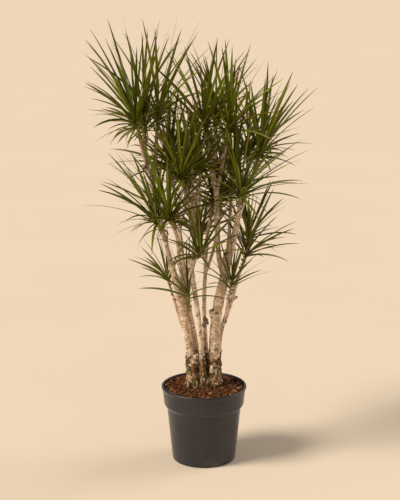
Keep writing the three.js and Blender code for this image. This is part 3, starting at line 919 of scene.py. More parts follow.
@dataclass
class Spindle:
    """A branch's budded top, in line with the limb: thickest at `waist_at`, pointed at its end."""

    limb: Limb
    reach: float
    waist_at: float = 0.3
    gap: float = 0.3
    swelling: float = 0.03
    shortest: float = 30.0
    stretch: float = 0.13

    def __post_init__(self) -> None:
        """Works out where it starts and its sizes from the leaves' length."""
        self.way = self.limb.tangent(np.array([1.0]))[0]
        self.start = self.limb.at(np.array([1.0]))[0] + self.gap * self.way
        self.foot = float(self.limb.points[-1, 3])
        self.waist = self.foot + self.swelling * self.reach
        self.length = self.shortest + self.stretch * self.reach
        self.lean = math.degrees(math.acos(self.way[2]))
        self.leans_to = math.atan2(self.way[1], self.way[0])

    def radius(self, t: Array) -> Array:
        """Straight from the foot to the waist, and straight on to nothing."""
        t = np.asarray(t, float)
        rising = mix(self.foot, self.waist, t / self.waist_at)
        falling = mix(self.waist, 0.0, (t - self.waist_at) / (1 - self.waist_at))
        return np.where(t < self.waist_at, rising, falling)

    def ring(self, t: Array, angle: Array, radius: Array) -> Array:
        """Places round the spindle's middle line."""
        side, other = cross_axes(self.way[None])
        out = side * np.sin(angle)[:, None] + other * np.cos(angle)[:, None]
        return self.start + self.length * t[:, None] * self.way + radius[:, None] * out


@dataclass
class Blade:
    """A leaf's spine: an arc of a circle in an upright plane, from its root towards its heading."""

    root: Array
    heading: float
    rise: float
    droop: float
    roll: float
    length: float
    age: float

    def spine(self, t: Array) -> Array:
        """Places at t; the slope goes from `rise` down by `droop`, in degrees."""
        rise, droop, heading = map(math.radians, (self.rise, self.droop, self.heading))
        scale = self.length / droop
        out = scale * (math.sin(rise) - np.sin(rise - droop * t))
        up = scale * (np.cos(rise - droop * t) - math.cos(rise))
        way = np.stack([out * math.cos(heading), out * math.sin(heading), up], -1)
        return self.root + way

    def axes(self, t: Array) -> tuple[Array, Array]:
        """The ways across the blade and out of its flat at t, with its roll in them."""
        heading, roll = math.radians(self.heading), math.radians(self.roll)
        tilt = np.radians(self.rise - self.droop * t)[:, None]
        level = np.array([-math.sin(heading), math.cos(heading), 0.0])
        forth = np.array([math.cos(heading), math.sin(heading), 0.0])
        tall = SKY * np.cos(tilt) - forth * np.sin(tilt)
        return (level * math.cos(roll) + tall * math.sin(roll),
                tall * math.cos(roll) - level * math.sin(roll))


@dataclass
class LeafRule:
    """How the heads' leaves are placed, as in the part's source, and the width of a blade."""

    width: float = 12.0
    keel: float = 1.8
    sections: tuple[float, ...] = (0.0, 0.2, 0.6, 1.0)
    plump: tuple[float, ...] = (0.0, 0.88, 0.92, 0.0)
    step: float = 1.6
    across: int = 7
    tries: int = 90
    free_tries: int = 30
    stray: float = 10.0
    stray_growth: float = 4.0
    tilt: float = 6.0
    droop_growth: float = 0.5
    shortening: float = 0.012
    lowest_rise: float = 36.0
    rise_span: float = 46.0
    least_droop: float = 4.0
    droop_span: float = 30.0
    lean: float = 0.5
    roll: float = 60.0
    head_turn: float = 47.0
    shortest: float = 0.75
    size_bend: float = 0.6
    lowest_root: float = 0.22
    highest_root: float = 0.8
    sunk: float = 1.1
    root_out: float = 0.7

    def samples(self, blade: Blade) -> Array:
        """Points all over a blade's flat and along its keel."""
        t, plump = np.array(self.sections), np.array(self.plump)
        side, up = blade.axes(t)
        middle = blade.spine(t)
        across = (np.arange(self.across) / (self.across - 1) - 0.5)[None, :, None]
        flat = middle[:, None] + side[:, None] * across * (plump * self.width)[:, None, None]
        keel = middle - up * (self.keel * np.minimum(1, plump * 3))[:, None]
        rows = np.concatenate([flat, keel[:, None]], 1)
        parts = [rows[-1]]
        for i in range(len(t) - 1):
            steps = math.ceil(np.linalg.norm(middle[i + 1] - middle[i]) / self.step)
            share = (np.arange(steps) / steps)[:, None, None]
            parts.append((rows[i] + (rows[i + 1] - rows[i]) * share).reshape(-1, 3))
        return np.vstack(parts)

    def blade(self, spindle: Spindle, owner: int, age: float, turn: float, size: float,
              attempt: int, draw: Draws) -> Blade:
        """One try at a leaf: low ones hang, top ones stand, with more leeway at each attempt."""
        stray = self.stray + self.stray_growth * attempt
        shortening = max(0, attempt - self.free_tries) * self.shortening
        heading = turn + owner * self.head_turn + stray * (draw.next() - 0.5)
        rise = self.lowest_rise + self.rise_span * age + (self.tilt + attempt) * (draw.next() - 0.5)
        rise -= self.lean * spindle.lean * math.cos(math.radians(heading) - spindle.leans_to)
        droop = (self.least_droop + self.droop_span * (1 - age)
                 + (self.tilt + self.droop_growth * attempt) * draw.next())
        roll = self.roll * (2 * draw.next() - 1)
        way = np.array([math.cos(math.radians(heading)), math.sin(math.radians(heading)), 0.0])
        t = mix(self.lowest_root, self.highest_root, age)
        sunk = self.sunk * spindle.waist
        out = self.root_out * float(spindle.radius(t)) - sunk * math.cos(math.radians(rise))
        root = spindle.start + spindle.way * (spindle.length * t) + way * out
        root[2] -= sunk * math.sin(math.radians(rise))
        return Blade(root, heading, rise, droop, roll, size * (1 - shortening), age)

    def grow(self, head: "Head", age: float, turn: float, room: Room, draw: Draws,
             box: Array | None = None) -> None:
        """Nudges a leaf until it is clear of other heads and wood and in the box, or skips it."""
        size = head.reach * mix(self.shortest, 1, age**self.size_bend) * mix(0.9, 1.1, draw.next())
        for attempt in range(self.tries):
            blade = self.blade(head.spindle, head.owner, age, turn, size, attempt, draw)
            points = self.samples(blade)
            inside = box is None or bool(((points > box[0]) & (points < box[1])).all())
            if inside and room.is_free(points, head.owner, blade.root):
                room.claim(points, head.owner)
                head.blades.append(blade)
                return


@dataclass
class Head:
    """A head of leaves on a branch tip: a budded core and blades all round it."""

    limb_name: str
    reach: float
    count: int
    more: int
    owner: int
    spindle: Spindle
    blades: list[Blade] = field(default_factory=list)
    rows: tuple[float, ...] = (0.0, 0.035, 0.09, 0.17, 0.28, 0.4, 0.52, 0.64, 0.75, 0.85, 0.93, 1.0)
    thickness: float = 0.9
    core_end: float = 0.82

    def leaf_skin(self, rng: np.random.Generator, width: float) -> Skin:
        """All blades as one skin of thin closed tubes with four places round.

        A blade's places are its spine plus half its width to each side. The sides stand up by a
        fold that opens towards the point, the whole turns about the spine by the blade's roll and
        a twist, and the spine sways sideways with the square of the way along. The width swells
        from the foot, keeps to the middle and runs out in a long fine point.
        """
        n = len(self.blades)
        t = np.array(self.rows)[None]
        pick = {k: np.array([getattr(b, k) for b in self.blades])[:, None]
                for k in ("heading", "rise", "droop", "roll", "length", "age")}
        heading, rise, droop, roll = (np.radians(pick[k])
                                      for k in ("heading", "rise", "droop", "roll"))
        length, age = pick["length"], pick["age"]
        tilt = rise - droop * t
        scale = length / droop
        out = scale * (np.sin(rise) - np.sin(tilt))
        up = scale * (np.cos(tilt) - np.cos(rise))
        level = headings(heading)
        side = np.stack([-np.sin(heading), np.cos(heading), 0 * heading], -1)
        roots = np.array([b.root for b in self.blades])[:, None]
        sway = rng.normal(0, 0.025, (n, 1)) * length * t**2
        spine = roots + out[..., None] * level + up[..., None] * SKY + sway[..., None] * side
        tall = -np.sin(tilt)[..., None] * level + np.cos(tilt)[..., None] * SKY
        twist = (roll + rng.normal(0, 0.35, (n, 1)) * t)[..., None]
        side, tall = (side * np.cos(twist) + tall * np.sin(twist),
                      tall * np.cos(twist) - side * np.sin(twist))
        grown = np.clip(length / 300, 0.74, 0.98) * rng.uniform(0.82, 1.1, (n, 1))
        plump = mix(0.66, 1.0, smooth(0.0, 0.22, t)) * np.clip(1 - t**3.4, 0, 1)**0.95
        half = 0.5 * width * grown * plump + 0.16
        fold = np.radians(mix(52.0, 9.0, smooth(0.0, 0.6, t)) * rng.uniform(0.7, 1.2, (n, 1)))
        reach_out = (half * np.cos(fold))[..., None] * side
        stand_up = (half * np.sin(fold))[..., None] * tall
        thick = (self.thickness * np.clip(1 - 0.8 * t, 0.22, 1))[..., None] * tall
        ring = np.stack([spine + reach_out + stand_up, spine + 0 * thick,
                         spine - reach_out + stand_up, spine - thick], 2)
        rows = len(self.rows)
        base = (np.arange(n) * rows * 4)[:, None]
        corners = np.arange(4)
        caps = np.vstack([base + corners[::-1], base + (rows - 1) * 4 + corners])
        spread = np.broadcast_to(half[..., None], (n, rows, 4))
        sign = np.array([1.0, 0.0, -1.0, 0.0])
        tone = np.broadcast_to(rng.uniform(0, 1, (n, 1, 1)), (n, rows, 4))
        values = {"along": np.broadcast_to(t[..., None], (n, rows, 4)), "across": spread * sign,
                  "inset": spread * (1 - np.abs(sign)), "tone": tone,
                  "age": np.broadcast_to(age[..., None], (n, rows, 4))}
        return Skin(ring.reshape(-1, 3), np.vstack([tube_faces(rows, 4, n), caps]),
                    {k: v.reshape(-1) for k, v in values.items()})

    def core_skin(self) -> Skin:
        """The stem inside the head: it goes on from the limb and narrows to a bud."""
        rows, around = 9, 12
        t, angle = np.meshgrid(np.linspace(0, self.core_end, rows), -turns(around), indexing="ij")
        t, angle = t.reshape(-1), angle.reshape(-1)
        girth = self.spindle.foot * mix(1.04, 0.35, smooth(0.25, self.core_end, t))
        skin = closed_tube(self.spindle.ring(t, angle, girth), rows, around)
        flat = np.ones(len(skin.places))
        skin.values = {"along": 0.02 * flat, "across": 0 * flat, "inset": 6 * flat,
                       "tone": 0.5 * flat, "age": flat}
        return skin

    def build(self, width: float, finish: bpy.types.Material) -> None:
        """Makes the head's piece, with a sharp crease along both margins of every blade."""
        rng = np.random.default_rng(1000 + self.owner)
        leaves = self.leaf_skin(rng, width)
        margins = len(leaves.places)
        piece = make_mesh("leaves_" + self.limb_name, leaves + self.core_skin())
        ends = read_rows(piece.data.edges, "vertices", 2, np.int32)
        margin = (ends.max(1) < margins) & (ends[:, 0] % 2 == 0) & (ends[:, 0] % 4 == ends[:, 1] % 4)
        crease = piece.data.attributes.new("sharp_edge", "BOOLEAN", "EDGE")
        crease.data.foreach_set("value", margin)
        dress(piece, Slot.LEAF, finish, "head_" + self.limb_name)


@dataclass
class Crown:
    """All heads, grown together from the topmost leaf down, then filled in with more leaves."""

    canes: list[Cane]
    box: Array
    rule: LeafRule = field(default_factory=LeafRule)
    cell: float = 3.6
    ring_points: int = 20
    fine_cell: float = 2.8
    youngest: float = 0.97
    oldest: float = 0.22
    main_seed: int = 18
    more_seed: int = 83
    shed: int = 12
    shed_length: float = 60.0
    hanging: float = 0.07
    heads: list[Head] = field(default_factory=list)

    def _claim_wood(self, room: Room) -> None:
        """Takes the cells of all limbs and spindles."""
        for cane in self.canes:
            for limb in cane.limbs.values():
                t, angle, spread = round_grid(limb.length(), self.cell, self.ring_points)
                room.claim(limb.ring(t, angle, spread), Room.WOOD)
        for head in self.heads:
            t, angle, spread = round_grid(head.spindle.length, self.cell, self.ring_points)
            radius = head.spindle.radius(t) * spread
            room.claim(head.spindle.ring(t, angle, radius), head.owner)

    def grow(self) -> None:
        """Repeats the part's leaves, then adds leaves between them in a finer room."""
        limbs = {name: limb for cane in self.canes for name, limb in cane.limbs.items()}
        for owner, (limb, reach, count, fullness) in enumerate(HEADS, start=1):
            more = math.ceil(count * fullness)
            self.heads.append(Head(limb, reach, count, more, owner, Spindle(limbs[limb], reach)))
        room, draw = Room(self.cell, 1), Draws(self.main_seed)
        self._claim_wood(room)
        for from_top in range(1, max(head.count for head in self.heads) + 1):
            for head in self.heads:
                i = head.count - from_top
                if i >= 0:
                    age = mix(OLDEST.get(head.limb_name, 0.0), 1.0, i / (head.count - 1))
                    self.rule.grow(head, age, i * GOLDEN_ANGLE, room, draw)
        log.info("main leaves: %d", sum(len(head.blades) for head in self.heads))
        fine, more = Room(self.fine_cell, 0), Draws(self.more_seed)
        self._claim_wood(fine)
        for head in self.heads:
            for blade in head.blades:
                fine.claim(self.rule.samples(blade), head.owner)
        for from_top in range(1, max(head.more for head in self.heads) + 1):
            for head in self.heads:
                i = head.more - from_top
                if i >= 0:
                    oldest = max(self.oldest, OLDEST.get(head.limb_name, 0.0))
                    age = mix(oldest, self.youngest, i / (head.more - 1))
                    turn = (i + 0.5) * GOLDEN_ANGLE + 20
                    self.rule.grow(head, age, turn, fine, more, self.box)
        log.info("all leaves: %d", sum(len(head.blades) for head in self.heads))
        for head in self.heads:
            self._shed_feet(head, limbs[head.limb_name])

    def _shed_feet(self, head: Head, limb: Limb) -> None:
        """Leaves the brown feet of shed leaves, and a few withered ones, down a branch's end."""
        rng = np.random.default_rng(57 + head.owner)
        share = min(0.45, self.shed_length / limb.length())
        t = 1 - share * (np.arange(self.shed) + 0.5) / self.shed
        heading = np.arange(self.shed) * GOLDEN_ANGLE + rng.normal(0, 20, self.shed)
        out = headings(np.radians(heading)) * (0.7 * limb.radius(t))[:, None]
        roots = limb.at(t) + out
        hangs = rng.uniform(0, 1, self.shed) < self.hanging
        length = rng.uniform(9, 20, self.shed) * np.where(hangs, 5.0, 1.0)
        rise = np.where(hangs, rng.uniform(-10, 30, self.shed), rng.uniform(50, 80, self.shed))
        droop = np.where(hangs, rng.uniform(40, 70, self.shed), rng.uniform(10, 50, self.shed))
        roll = rng.uniform(-40, 40, self.shed)
        rows = zip(roots, heading, rise, droop, roll, length)
        head.blades.extend(Blade(*row, age=-1.0) for row in rows)

    def build(self, finish: bpy.types.Material) -> None:
        """Makes every head's piece."""
        for head in self.heads:
            head.build(self.rule.width, finish)


# ---- pot and filling ----
@dataclass
class Pot:
    """A tapered pot: a plain body, a thick collar, a rolled rim and drain holes in its floor."""

    foot: float = 116.0
    body: float = 135.5
    collar: float = 146.5
    rim: float = 156.0
    height: float = 281.0
    collar_start: float = 215.0
    wall: float = 4.0
    floor: float = 5.0
    around: int = 160
    fillet: float = 3.0
    drain_holes: int = 5
    drain_radius: float = 6.0
    drain_circle: float = 88.0
    drain_around: int = 24

    def outline(self) -> Array:
        """The pot's cut outline as [radius, height], round its corners, from axis to axis."""
        foot, rim, top, start = self.foot, self.rim, self.height, self.collar_start
        outside = [[foot - 2, 0], [foot, 4], [foot + 0.7, 9], [self.body, start - 14],
                   [self.body + 4, start - 10.5], [self.collar - 2, start - 5], [self.collar, start],
                   [rim - 4.2, top - 14], [rim - 3, top - 11.5], [rim - 0.8, top - 9],
                   [rim, top - 5.5], [rim - 0.6, top - 2], [rim - 3, top]]
        inside = [[rim - 7, top], [rim - 8, top - 2], [self.collar - self.wall, start + 6],
                  [self.body - self.wall, start - 10], [foot - self.wall, self.floor + 1],
                  [foot - self.wall - 2, self.floor]]
        return round_corners(np.array([[0.5, 0], *outside, *inside, [0.5, self.floor]], float),
                             self.fillet)

    def build(self, plastic: bpy.types.Material) -> None:
        """Turns the outline round the axis, and cuts the drain holes."""
        outline = self.outline()
        skin = closed_tube(lathe(outline, self.around), len(outline), self.around)
        piece = make_mesh("pot_body", skin)
        self._drain(piece)
        dress(piece, Slot.POT, plastic, "pot")

    def _drain(self, piece: bpy.types.Object) -> None:
        """Cuts round holes through the floor."""
        deep = 4 * self.floor
        outline = np.array([[self.drain_radius, -deep], [self.drain_radius, deep]])
        hole = closed_tube(lathe(outline, self.drain_around), 2, self.drain_around)
        middles = headings(turns(self.drain_holes)) * self.drain_circle
        holes = [Skin(hole.places + middle, hole.faces) for middle in middles]
        tool = make_mesh("drain_cutter", sum(holes[1:], holes[0]))
        cut = piece.modifiers.new("drain", "BOOLEAN")
        cut.operation, cut.solver, cut.object = "DIFFERENCE", "EXACT", tool
        mesh = applied(piece)
        piece.modifiers.clear()
        piece.data = mesh
        bpy.data.objects.remove(tool)


def round_corners(outline: Array, radius: float, steps: int = 4) -> Array:
    """Rounds an outline's inner corners by quadratic curves that start `radius` before them.

    Args:
        outline: an (n, 2) array of points.
        radius: how far from a corner its curve starts, at most 0.45 of the shorter side.
        steps: points on each curve.

    Returns:
        The rounded outline.
    """
    before, corner, after = outline[:-2], outline[1:-1], outline[2:]
    back, on = before - corner, after - corner
    reach = np.minimum(np.linalg.norm(back, axis=1), np.linalg.norm(on, axis=1)) * 0.45
    reach = np.minimum(reach, radius)[:, None]
    start, end = corner + unit(back) * reach, corner + unit(on) * reach
    t = np.linspace(0, 1, steps)[None, :, None]
    curve = (1 - t)**2 * start[:, None] + 2 * t * (1 - t) * corner[:, None] + t**2 * end[:, None]
    return np.vstack([outline[:1], curve.reshape(-1, 2), outline[-1:]])


@dataclass
class Filling:
    """The pot's filling: a mound of peat, and bark chips and coir strands scattered over it."""

    pot: Pot
    level: float = 274.0
    mound: float = 4.0
    gap: float = 1.2
    chips: int = 2300
    strands: int = 260
    around: int = 128
    rings: int = 36

    def edge(self) -> float:
        """How far the top reaches."""
        pot = self.pot
        share = (self.level - pot.collar_start - 6) / (pot.height - pot.collar_start - 8)
        return mix(pot.collar - pot.wall, pot.rim - 8, share) - self.gap

    def top(self, x: Array, y: Array) -> Array:
        """The height of the filling's top: a low mound, steep at its edge and lumpy."""
        inward = np.clip(1 - np.hypot(x, y) / self.edge(), 0, 1)
        flat = np.stack([x, y, 0 * x], -1)
        lumps = 1.5 * crumple(flat, 34, 21) + 0.9 * crumple(flat, 11, 22)
        return self.level + self.mound * np.sqrt(inward) + lumps

    def build(self, mulch: bpy.types.Material, feet: Array) -> None:
        """Makes the bed, the chips and the strands.

        Args:
            mulch: their finish.
            feet: the canes' feet as rows of [x, y, radius], which stay clear of chips.
        """
        dress(make_mesh("soil_bed", self.bed()), Slot.SOIL, mulch, "soil")
        rng = np.random.default_rng(12)
        dress(make_mesh("bark_chips", self.chip_skin(rng, feet), flat=True), Slot.SOIL, mulch)
        dress(make_mesh("coir_strands", self.strand_skin(rng, feet)), Slot.SOIL, mulch)

    def bed(self) -> Skin:
        """The body of the filling: the pot's inside less a gap, closed by the lumpy top."""
        pot, gap = self.pot, self.gap
        wall = [[0.5, pot.floor + 0.3], [pot.foot - pot.wall - gap, pot.floor + 0.3],
                [pot.body - pot.wall - gap, pot.collar_start - 10],
                [pot.collar - pot.wall - gap, pot.collar_start + 6], [self.edge(), self.level - 4]]
        radii = np.linspace(1, 0.004, self.rings) * self.edge()
        profile = np.vstack([wall, np.stack([radii, np.full(self.rings, np.nan)], 1)])
        places = lathe(profile, self.around)
        top = self.top(places[:, 0], places[:, 1])
        places[:, 2] = np.where(np.isnan(places[:, 2]), top, places[:, 2])
        skin = closed_tube(places, len(profile), self.around)
        skin.values = {"tone": 0.18 + 0.12 * crumple(skin.places, 9, 23)}
        return skin

    def _spots(self, rng: np.random.Generator, count: int, feet: Array, margin: float) -> Array:
        """Seeded places on the filling's top, even over its area and clear of the canes' feet."""
        turn = rng.uniform(0, 2 * math.pi, 3 * count)
        out = np.sqrt(rng.uniform(0, 1, 3 * count)) * (self.edge() - margin)
        spots = np.stack([out * np.cos(turn), out * np.sin(turn)], 1)
        clear = (np.linalg.norm(spots[:, None] - feet[None, :, :2], axis=2) > feet[:, 2] + 2).all(1)
        return spots[clear][:count]

    def chip_skin(self, rng: np.random.Generator, feet: Array) -> Skin:
        """Chips that lie on the top any way round, each with its own brown."""
        spots = self._spots(rng, self.chips, feet, 7)
        n = len(spots)
        half = rng.lognormal(0, 0.3, (n, 1)) * [5.0, 2.9, 1.3] * rng.uniform(0.7, 1.25, (n, 3))
        ground = self.top(spots[:, 0], spots[:, 1]) + rng.uniform(0.0, 3.0, n)
        places, faces = slabs(rng, half, tumble(rng, n, 0.38), np.column_stack([spots, ground]))
        return Skin(places, faces, {"tone": np.repeat(rng.beta(2.0, 2.2, n), SLAB_PLACES)})

    def strand_skin(self, rng: np.random.Generator, feet: Array) -> Skin:
        """Coir strands: three-sided threads along short arcs that lie on the chips."""
        spots = self._spots(rng, self.strands, feet, 14)
        n, rows = len(spots), 6
        t = np.linspace(-1, 1, rows)[None]
        turn, bend = rng.uniform(0, 2 * math.pi, (n, 1)), rng.normal(0, 0.8, (n, 1))
        half = rng.uniform(5, 13, (n, 1))
        way = turn + bend * t
        x = spots[:, :1] + half * t * np.cos(way)
        y = spots[:, 1:] + half * t * np.sin(way)
        hump = rng.uniform(2.2, 4.8, (n, 1)) * (1 - 0.6 * t**2)
        z = self.top(x.reshape(-1), y.reshape(-1)).reshape(x.shape) + hump
        spine = np.stack([x, y, z], -1)[:, :, None]
        angle = turns(3)[:, None]
        side = np.stack([-np.sin(way), np.cos(way), 0 * way], -1)[:, :, None]
        thick = (0.42 * (1.15 - t**2) * rng.uniform(0.7, 1.4, (n, 1)))[..., None, None]
        places = spine + thick * (side * np.cos(angle) + SKY * np.sin(angle))
        base, last = (np.arange(n) * rows * 3)[:, None], (rows - 1) * 3
        ends = np.array([[2, 1, 0, 0], [last, last + 1, last + 2, last + 2]])
        faces = np.vstack([tube_faces(rows, 3, n), base + ends[0], base + ends[1]])
        tone = np.repeat(rng.uniform(0.45, 0.95, n), rows * 3)
        return Skin(places.reshape(-1, 3), faces, {"tone": tone})


def slabs(rng: np.random.Generator, half: Array, frames: Array, middles: Array, curl: float = 0.0
          ) -> tuple[Array, Array]:
    """Rough six-cornered slabs: two rings of jittered corners, the upper ring smaller.

    Args:
        rng: seeded draws.
        half: (n, 3) half lengths, half widths and half thicknesses.
        frames: (n, 3, 3) the ways of each slab's length, width and thickness, as rows.
        middles: (n, 3) where they sit.
        curl: how far the ends of the length bend up.

    Returns:
        The places, SLAB_PLACES for each slab, and the faces.
    """
    n, size = len(half), (len(half), SLAB_CORNERS, 1)
    ring = headings(turns(SLAB_CORNERS))[None, :, :2] * rng.uniform(0.65, 1.25, size)
    flat = np.concatenate([ring, ring * rng.uniform(0.55, 0.95, size)], 1)
    z = np.repeat([[-1.0], [1.0]], SLAB_CORNERS, axis=0)[None] * half[:, None, 2:]
    rough = 0.2 * half[:, None, 2:] * rng.normal(0, 1, (n, SLAB_PLACES, 1))
    z = z + curl * flat[..., :1]**2 + rough
    local = np.concatenate([flat * half[:, None, :2], z], 2)
    base = (np.arange(n) * SLAB_PLACES)[:, None]
    caps = [[0, 5, 4, 3], [0, 3, 2, 1], [6, 7, 8, 9], [6, 9, 10, 11]]
    faces = np.vstack([tube_faces(2, SLAB_CORNERS, n), *[base + np.array(cap) for cap in caps]])
    return (local @ frames + middles[:, None]).reshape(-1, 3), faces


def about(axis: int, angle: Array) -> Array:
    """Matrices that turn by angles about one axis."""
    one, other = (axis + 1) % 3, (axis + 2) % 3
    made = np.zeros((len(angle), 3, 3))
    made[:, axis, axis] = 1
    made[:, one, one] = made[:, other, other] = np.cos(angle)
    made[:, other, one], made[:, one, other] = np.sin(angle), -np.sin(angle)
    return made


def tumble(rng: np.random.Generator, n: int, tilt: float) -> Array:
    """Turning matrices: any way round the vertical, and leaning by about `tilt` radians."""
    turn = rng.uniform(0, 2 * math.pi, n)
    lean, nod = rng.normal(0, tilt, n), rng.normal(0, tilt, n)
    return np.transpose(about(2, turn) @ about(0, lean) @ about(1, nod), (0, 2, 1))


@dataclass
class RootCrown:
    """The matted hump of old roots, bark and moss that fills the room between the canes' feet."""

    middle: tuple[float, float] = (-1.0, 2.0)
    reach: tuple[float, float] = (44.0, 36.0)
    foot: float = 270.0
    height: float = 96.0
    rings: int = 60
    around: int = 160

    def build(self, bark: bpy.types.Material) -> tuple[Array, Array]:
        """Makes the hump: its height falls with the square of the way out, with two sizes of lump.

        Args:
            bark: its finish.

        Returns:
            Its places in millimetres and the ways out of it there.
        """
        share, turn = np.meshgrid(np.linspace(1, 0.02, self.rings), turns(self.around),
                                  indexing="ij")
        places = np.stack([self.middle[0] + self.reach[0] * share * np.cos(turn),
                           self.middle[1] + self.reach[1] * share * np.sin(turn),
                           self.foot + self.height * (1 - share**2)], -1).reshape(-1, 3)
        lumps = 3.6 * crumple(places, 20, 41) + 1.8 * crumple(places, 8, 42)
        places = places + lumps[:, None] * np.array([0.6, 0.6, 1.0])
        skin = closed_tube(places, self.rings, self.around)
        plain = np.zeros(len(skin.places))
        skin.values = {"grain": skin.places / 10, "scar": plain, "youth": plain}
        piece = make_mesh("root_crown", skin)
        dress(piece, Slot.CANE, bark)
        return skin.places, read_rows(piece.data.vertex_normals, "vector", 3)


@dataclass
class BaseCover:
    """What clings to the canes' old feet: curled flakes of bark, and crumbs of moss between them.

    Flakes thin out from `flake_full` to `flake_top` and are most and darkest in the `band`; below
    `sheet_tops` they are large and pale, and over `darker_near_soil` they grow darker towards the
    soil. Moss thins out from `moss_full` to `moss_top`, and grows thickest `between` the canes, as
    a distance from the axis.
    The sheets are the few largest flakes, as [x, height, half length, half width, tone].
    """

    places: Array
    normals: Array
    flakes: int = 900
    crumbs: int = 6500
    flake_top: float = 400.0
    flake_full: float = 370.0
    band: tuple[float, float] = (310.0, 360.0)
    sheet_tops: tuple[float, float] = (365.0, 315.0)
    darker_near_soil: tuple[float, float] = (315.0, 285.0)
    moss_top: float = 385.0
    moss_full: float = 300.0
    between: tuple[float, float] = (46.0, 14.0)
    reach: float = 3.0
    sheets: tuple[tuple[float, float, float, float, float], ...] = (
        (27, 346, 27, 9, 0.92), (14, 305, 17, 5, 1.0), (33, 384, 15, 8, 0.75),
        (21, 400, 12, 6, 0.8), (-42, 352, 17, 10, 0.62), (-51, 331, 12, 7, 0.78),
        (-33, 322, 15, 8, 0.7), (-46, 300, 14, 6, 0.86), (-7, 372, 15, 5, 0.8),
        (2, 333, 13, 6, 0.6), (41, 315, 15, 7, 0.7), (-24, 296, 12, 5, 0.9))

    def build(self, flake: bpy.types.Material, moss: bpy.types.Material) -> None:
        """Makes the two pieces on the canes' finished skins."""
        rng = np.random.default_rng(31)
        dress(make_mesh("bark_flakes", self.flake_skin(rng), flat=True), Slot.CANE, flake)
        dress(make_mesh("moss_crumbs", self.moss_skin(rng)), Slot.CANE, moss)

    def _pick(self, rng: np.random.Generator, weight: Array, count: int) -> Array:
        """Draws places on the skins, the likelier the greater their weight."""
        return rng.choice(len(weight), count, replace=False, p=weight / weight.sum())

    def _frames(self, rng: np.random.Generator, normals: Array, lean: float) -> Array:
        """Ways of length, width and thickness: along the cane, round it, and out of it."""
        out = unit(normals + rng.normal(0, lean, normals.shape))
        up = SKY + rng.normal(0, 0.35, normals.shape)
        up = unit(up - (up * out).sum(1, keepdims=True) * out)
        return np.stack([up, np.cross(out, up), out], 1)

    def flake_skin(self, rng: np.random.Generator) -> Skin:
        """Flakes stand a little off the bark: dark crumbs in the band above, pale sheets below."""
        height = self.places[:, 2] + 20 * crumple(self.places, 40, 33)
        weight = smooth(self.flake_top, self.flake_full, height) * (0.3 + smooth(*self.band, height))
        picked = self._pick(rng, weight + 1e-9, self.flakes)
        low = smooth(*self.sheet_tops, height[picked])[:, None]
        half = rng.uniform([2.6, 1.8, 0.4], [8.0, 4.4, 1.0], (self.flakes, 3))
        half *= 1 + low * np.array([0.6, 0.4, 0.0])
        middles = self.places[picked] + self.normals[picked] * 0.8
        frames = self._frames(rng, self.normals[picked], 0.2)
        places, faces = slabs(rng, half, frames, middles, curl=1.2)
        tone = mix(0.32, 0.85, low[:, 0]) + rng.normal(0, 0.2, self.flakes)
        tone -= 0.4 * smooth(*self.darker_near_soil, self.places[picked, 2])
        loose = Skin(places, faces, {"tone": np.repeat(np.clip(tone, 0, 1), SLAB_PLACES)})
        return loose + self.sheet_skin(rng)

    def sheet_skin(self, rng: np.random.Generator) -> Skin:
        """The few large sheets of old bark: each lies on the frontmost skin at its x and height."""
        rows = np.array(self.sheets)
        off = np.hypot(self.places[:, 0] - rows[:, :1], self.places[:, 2] - rows[:, 1:2])
        front = np.where(off < self.reach, self.places[:, 1], np.inf).argmin(1)
        half = np.column_stack([rows[:, 2:4], np.full(len(rows), 1.6)])
        frames = self._frames(rng, self.normals[front], 0.08)
        places, faces = slabs(rng, half, frames, self.places[front] + self.normals[front] * 0.6)
        return Skin(places, faces, {"tone": np.repeat(rows[:, 4], SLAB_PLACES)})

    def moss_skin(self, rng: np.random.Generator) -> Skin:
        """Small round crumbs in patches, thickest low down and between the canes."""
        height, out = self.places[:, 2], np.hypot(self.places[:, 0], self.places[:, 1])
        patches = smooth(0.05, 0.6, crumple(self.places, 26, 32))
        between = smooth(*self.between, out)
        weight = (patches + 0.8 * between) * smooth(self.moss_top, self.moss_full, height)
        picked = self._pick(rng, weight + 1e-9, self.crumbs)
        jitter = rng.uniform([0.8, 0.8, 0.6], [1.3, 1.3, 1.2], (self.crumbs, 3))
        half = rng.uniform(0.5, 1.6, (self.crumbs, 1)) * jitter
        places, faces = slabs(rng, half, self._frames(rng, self.normals[picked], 0.5),
                              self.places[picked] + self.normals[picked] * 0.4)
        tone = np.repeat(rng.uniform(0, 1, self.crumbs), SLAB_PLACES)
        return Skin(places, faces, {"tone": tone})


# ---- studio ----
@dataclass(frozen=True)
class Lamp:
    """A sun that shines along its turned -Z: its turn and its width are in degrees."""

    name: str
    turn: tuple[float, float, float]
    strength: float
    tint: Tint
    width: float

    def build(self) -> None:
        """Adds the sun."""
        data = bpy.data.lights.new(self.name, "SUN")
        data.energy, data.color, data.angle = self.strength, self.tint, math.radians(self.width)
        sun = bpy.data.objects.new(self.name, data)
        sun.rotation_euler = [math.radians(angle) for angle in self.turn]
        bpy.context.scene.collection.objects.link(sun)


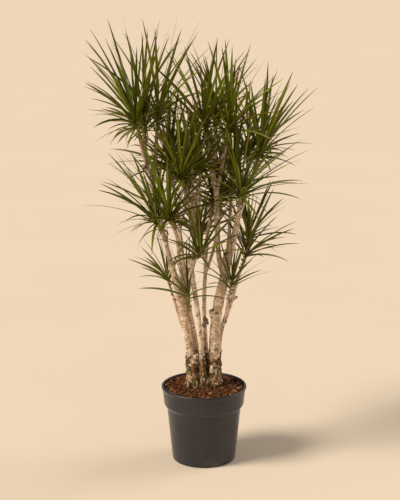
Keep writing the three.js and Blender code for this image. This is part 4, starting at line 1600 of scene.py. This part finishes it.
@dataclass
class Studio:
    """The pale floor, the lights and the camera at the photograph's viewing angle."""

    camera_at: tuple[float, float, float] = (-14.6, -4600.0, 1870.0)
    pitch: float = 13.23
    focal_px: float = 1318.0
    frame_height_px: float = 500.0
    sensor: float = 36.0
    sight: float = 200.0
    floor_half: float = 60000.0
    floor_drop: float = 0.3
    lamps: tuple[Lamp, ...] = (Lamp("sun_key", (47, -14, -54), 3.3, (1.0, 0.90, 0.75), 24),
                               Lamp("sun_rim", (62, 0, 112), 1.15, (1.0, 0.94, 0.86), 40))
    air_strength: float = 0.30
    air_tint: Tint = (1.0, 0.90, 0.76)

    def build(self) -> None:
        """Makes floor, lights and camera."""
        corners = np.array([[-1, -1], [1, -1], [1, 1], [-1, 1]]) * self.floor_half
        corners = np.column_stack([corners, np.full(4, -self.floor_drop)])
        floor = make_mesh("studio_floor", Skin(corners, np.array([[0, 1, 2, 3]])), flat=True)
        floor.data.materials.append(StudioFloor().material())
        floor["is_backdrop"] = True
        for lamp in self.lamps:
            lamp.build()
        world = bpy.data.worlds.new("studio_air")
        world.use_nodes = True
        back = world.node_tree.nodes["Background"]
        back.inputs[0].default_value = (*self.air_tint, 1)
        back.inputs[1].default_value = self.air_strength
        bpy.context.scene.world = world
        bpy.context.scene.view_settings.view_transform = "Standard"
        self._camera()

    def _camera(self) -> None:
        """Adds the camera, whose focal length in pixels was found from the photograph."""
        lens = bpy.data.cameras.new("camera")
        lens.sensor_fit, lens.sensor_height = "VERTICAL", self.sensor
        lens.lens = self.focal_px * self.sensor / self.frame_height_px
        lens.clip_end = self.sight
        camera = bpy.data.objects.new("camera", lens)
        camera.location = [c * MM for c in self.camera_at]
        camera.rotation_euler = (math.radians(90 - self.pitch), 0, 0)
        bpy.context.scene.collection.objects.link(camera)
        bpy.context.scene.camera = camera


def main() -> None:
    """Builds the studio, the pot, its filling, the canes and the leaf heads, and notes the sizes."""
    logging.basicConfig(level=logging.INFO, format="%(message)s")
    cad_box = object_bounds()
    Studio().build()
    pot = Pot()
    pot.build(PotPlastic().material())
    bearing = frozenset(limb for limb, *_ in HEADS)
    canes = [Cane(name, {k: Limb(v) for k, v in limbs.items()}, bearing, KNOTS[name])
             for name, limbs in LIMBS.items()]
    feet = np.array([limb.points[0][[0, 1, 3]] for cane in canes for limb in cane.limbs.values()
                     if limb.points[0][2] < Filling.level])
    Filling(pot).build(BarkMulch().material(), feet)
    bark = CaneBark().material()
    for cane in canes:
        cane.build(bark)
    flake = BarkMulch("bark_flake", (0.030, 0.016, 0.008), (0.30, 0.155, 0.060), (0.80, 0.60, 0.42))
    matted = CaneBark("matted_bark", tan=(0.15, 0.09, 0.042), umber=(0.050, 0.030, 0.013),
                      moss=(0.085, 0.075, 0.018))
    hump_places, hump_normals = RootCrown().build(matted.material())
    places = np.vstack([hump_places, *[cane.low_places for cane in canes]])
    normals = np.vstack([hump_normals, *[cane.low_normals for cane in canes]])
    BaseCover(places, normals).build(flake.material(), Moss().material())
    crown = Crown(canes, np.array(cad_box) / MM)
    crown.grow()
    crown.build(LeafBlade().material())


if __name__ == "__main__":
    main()
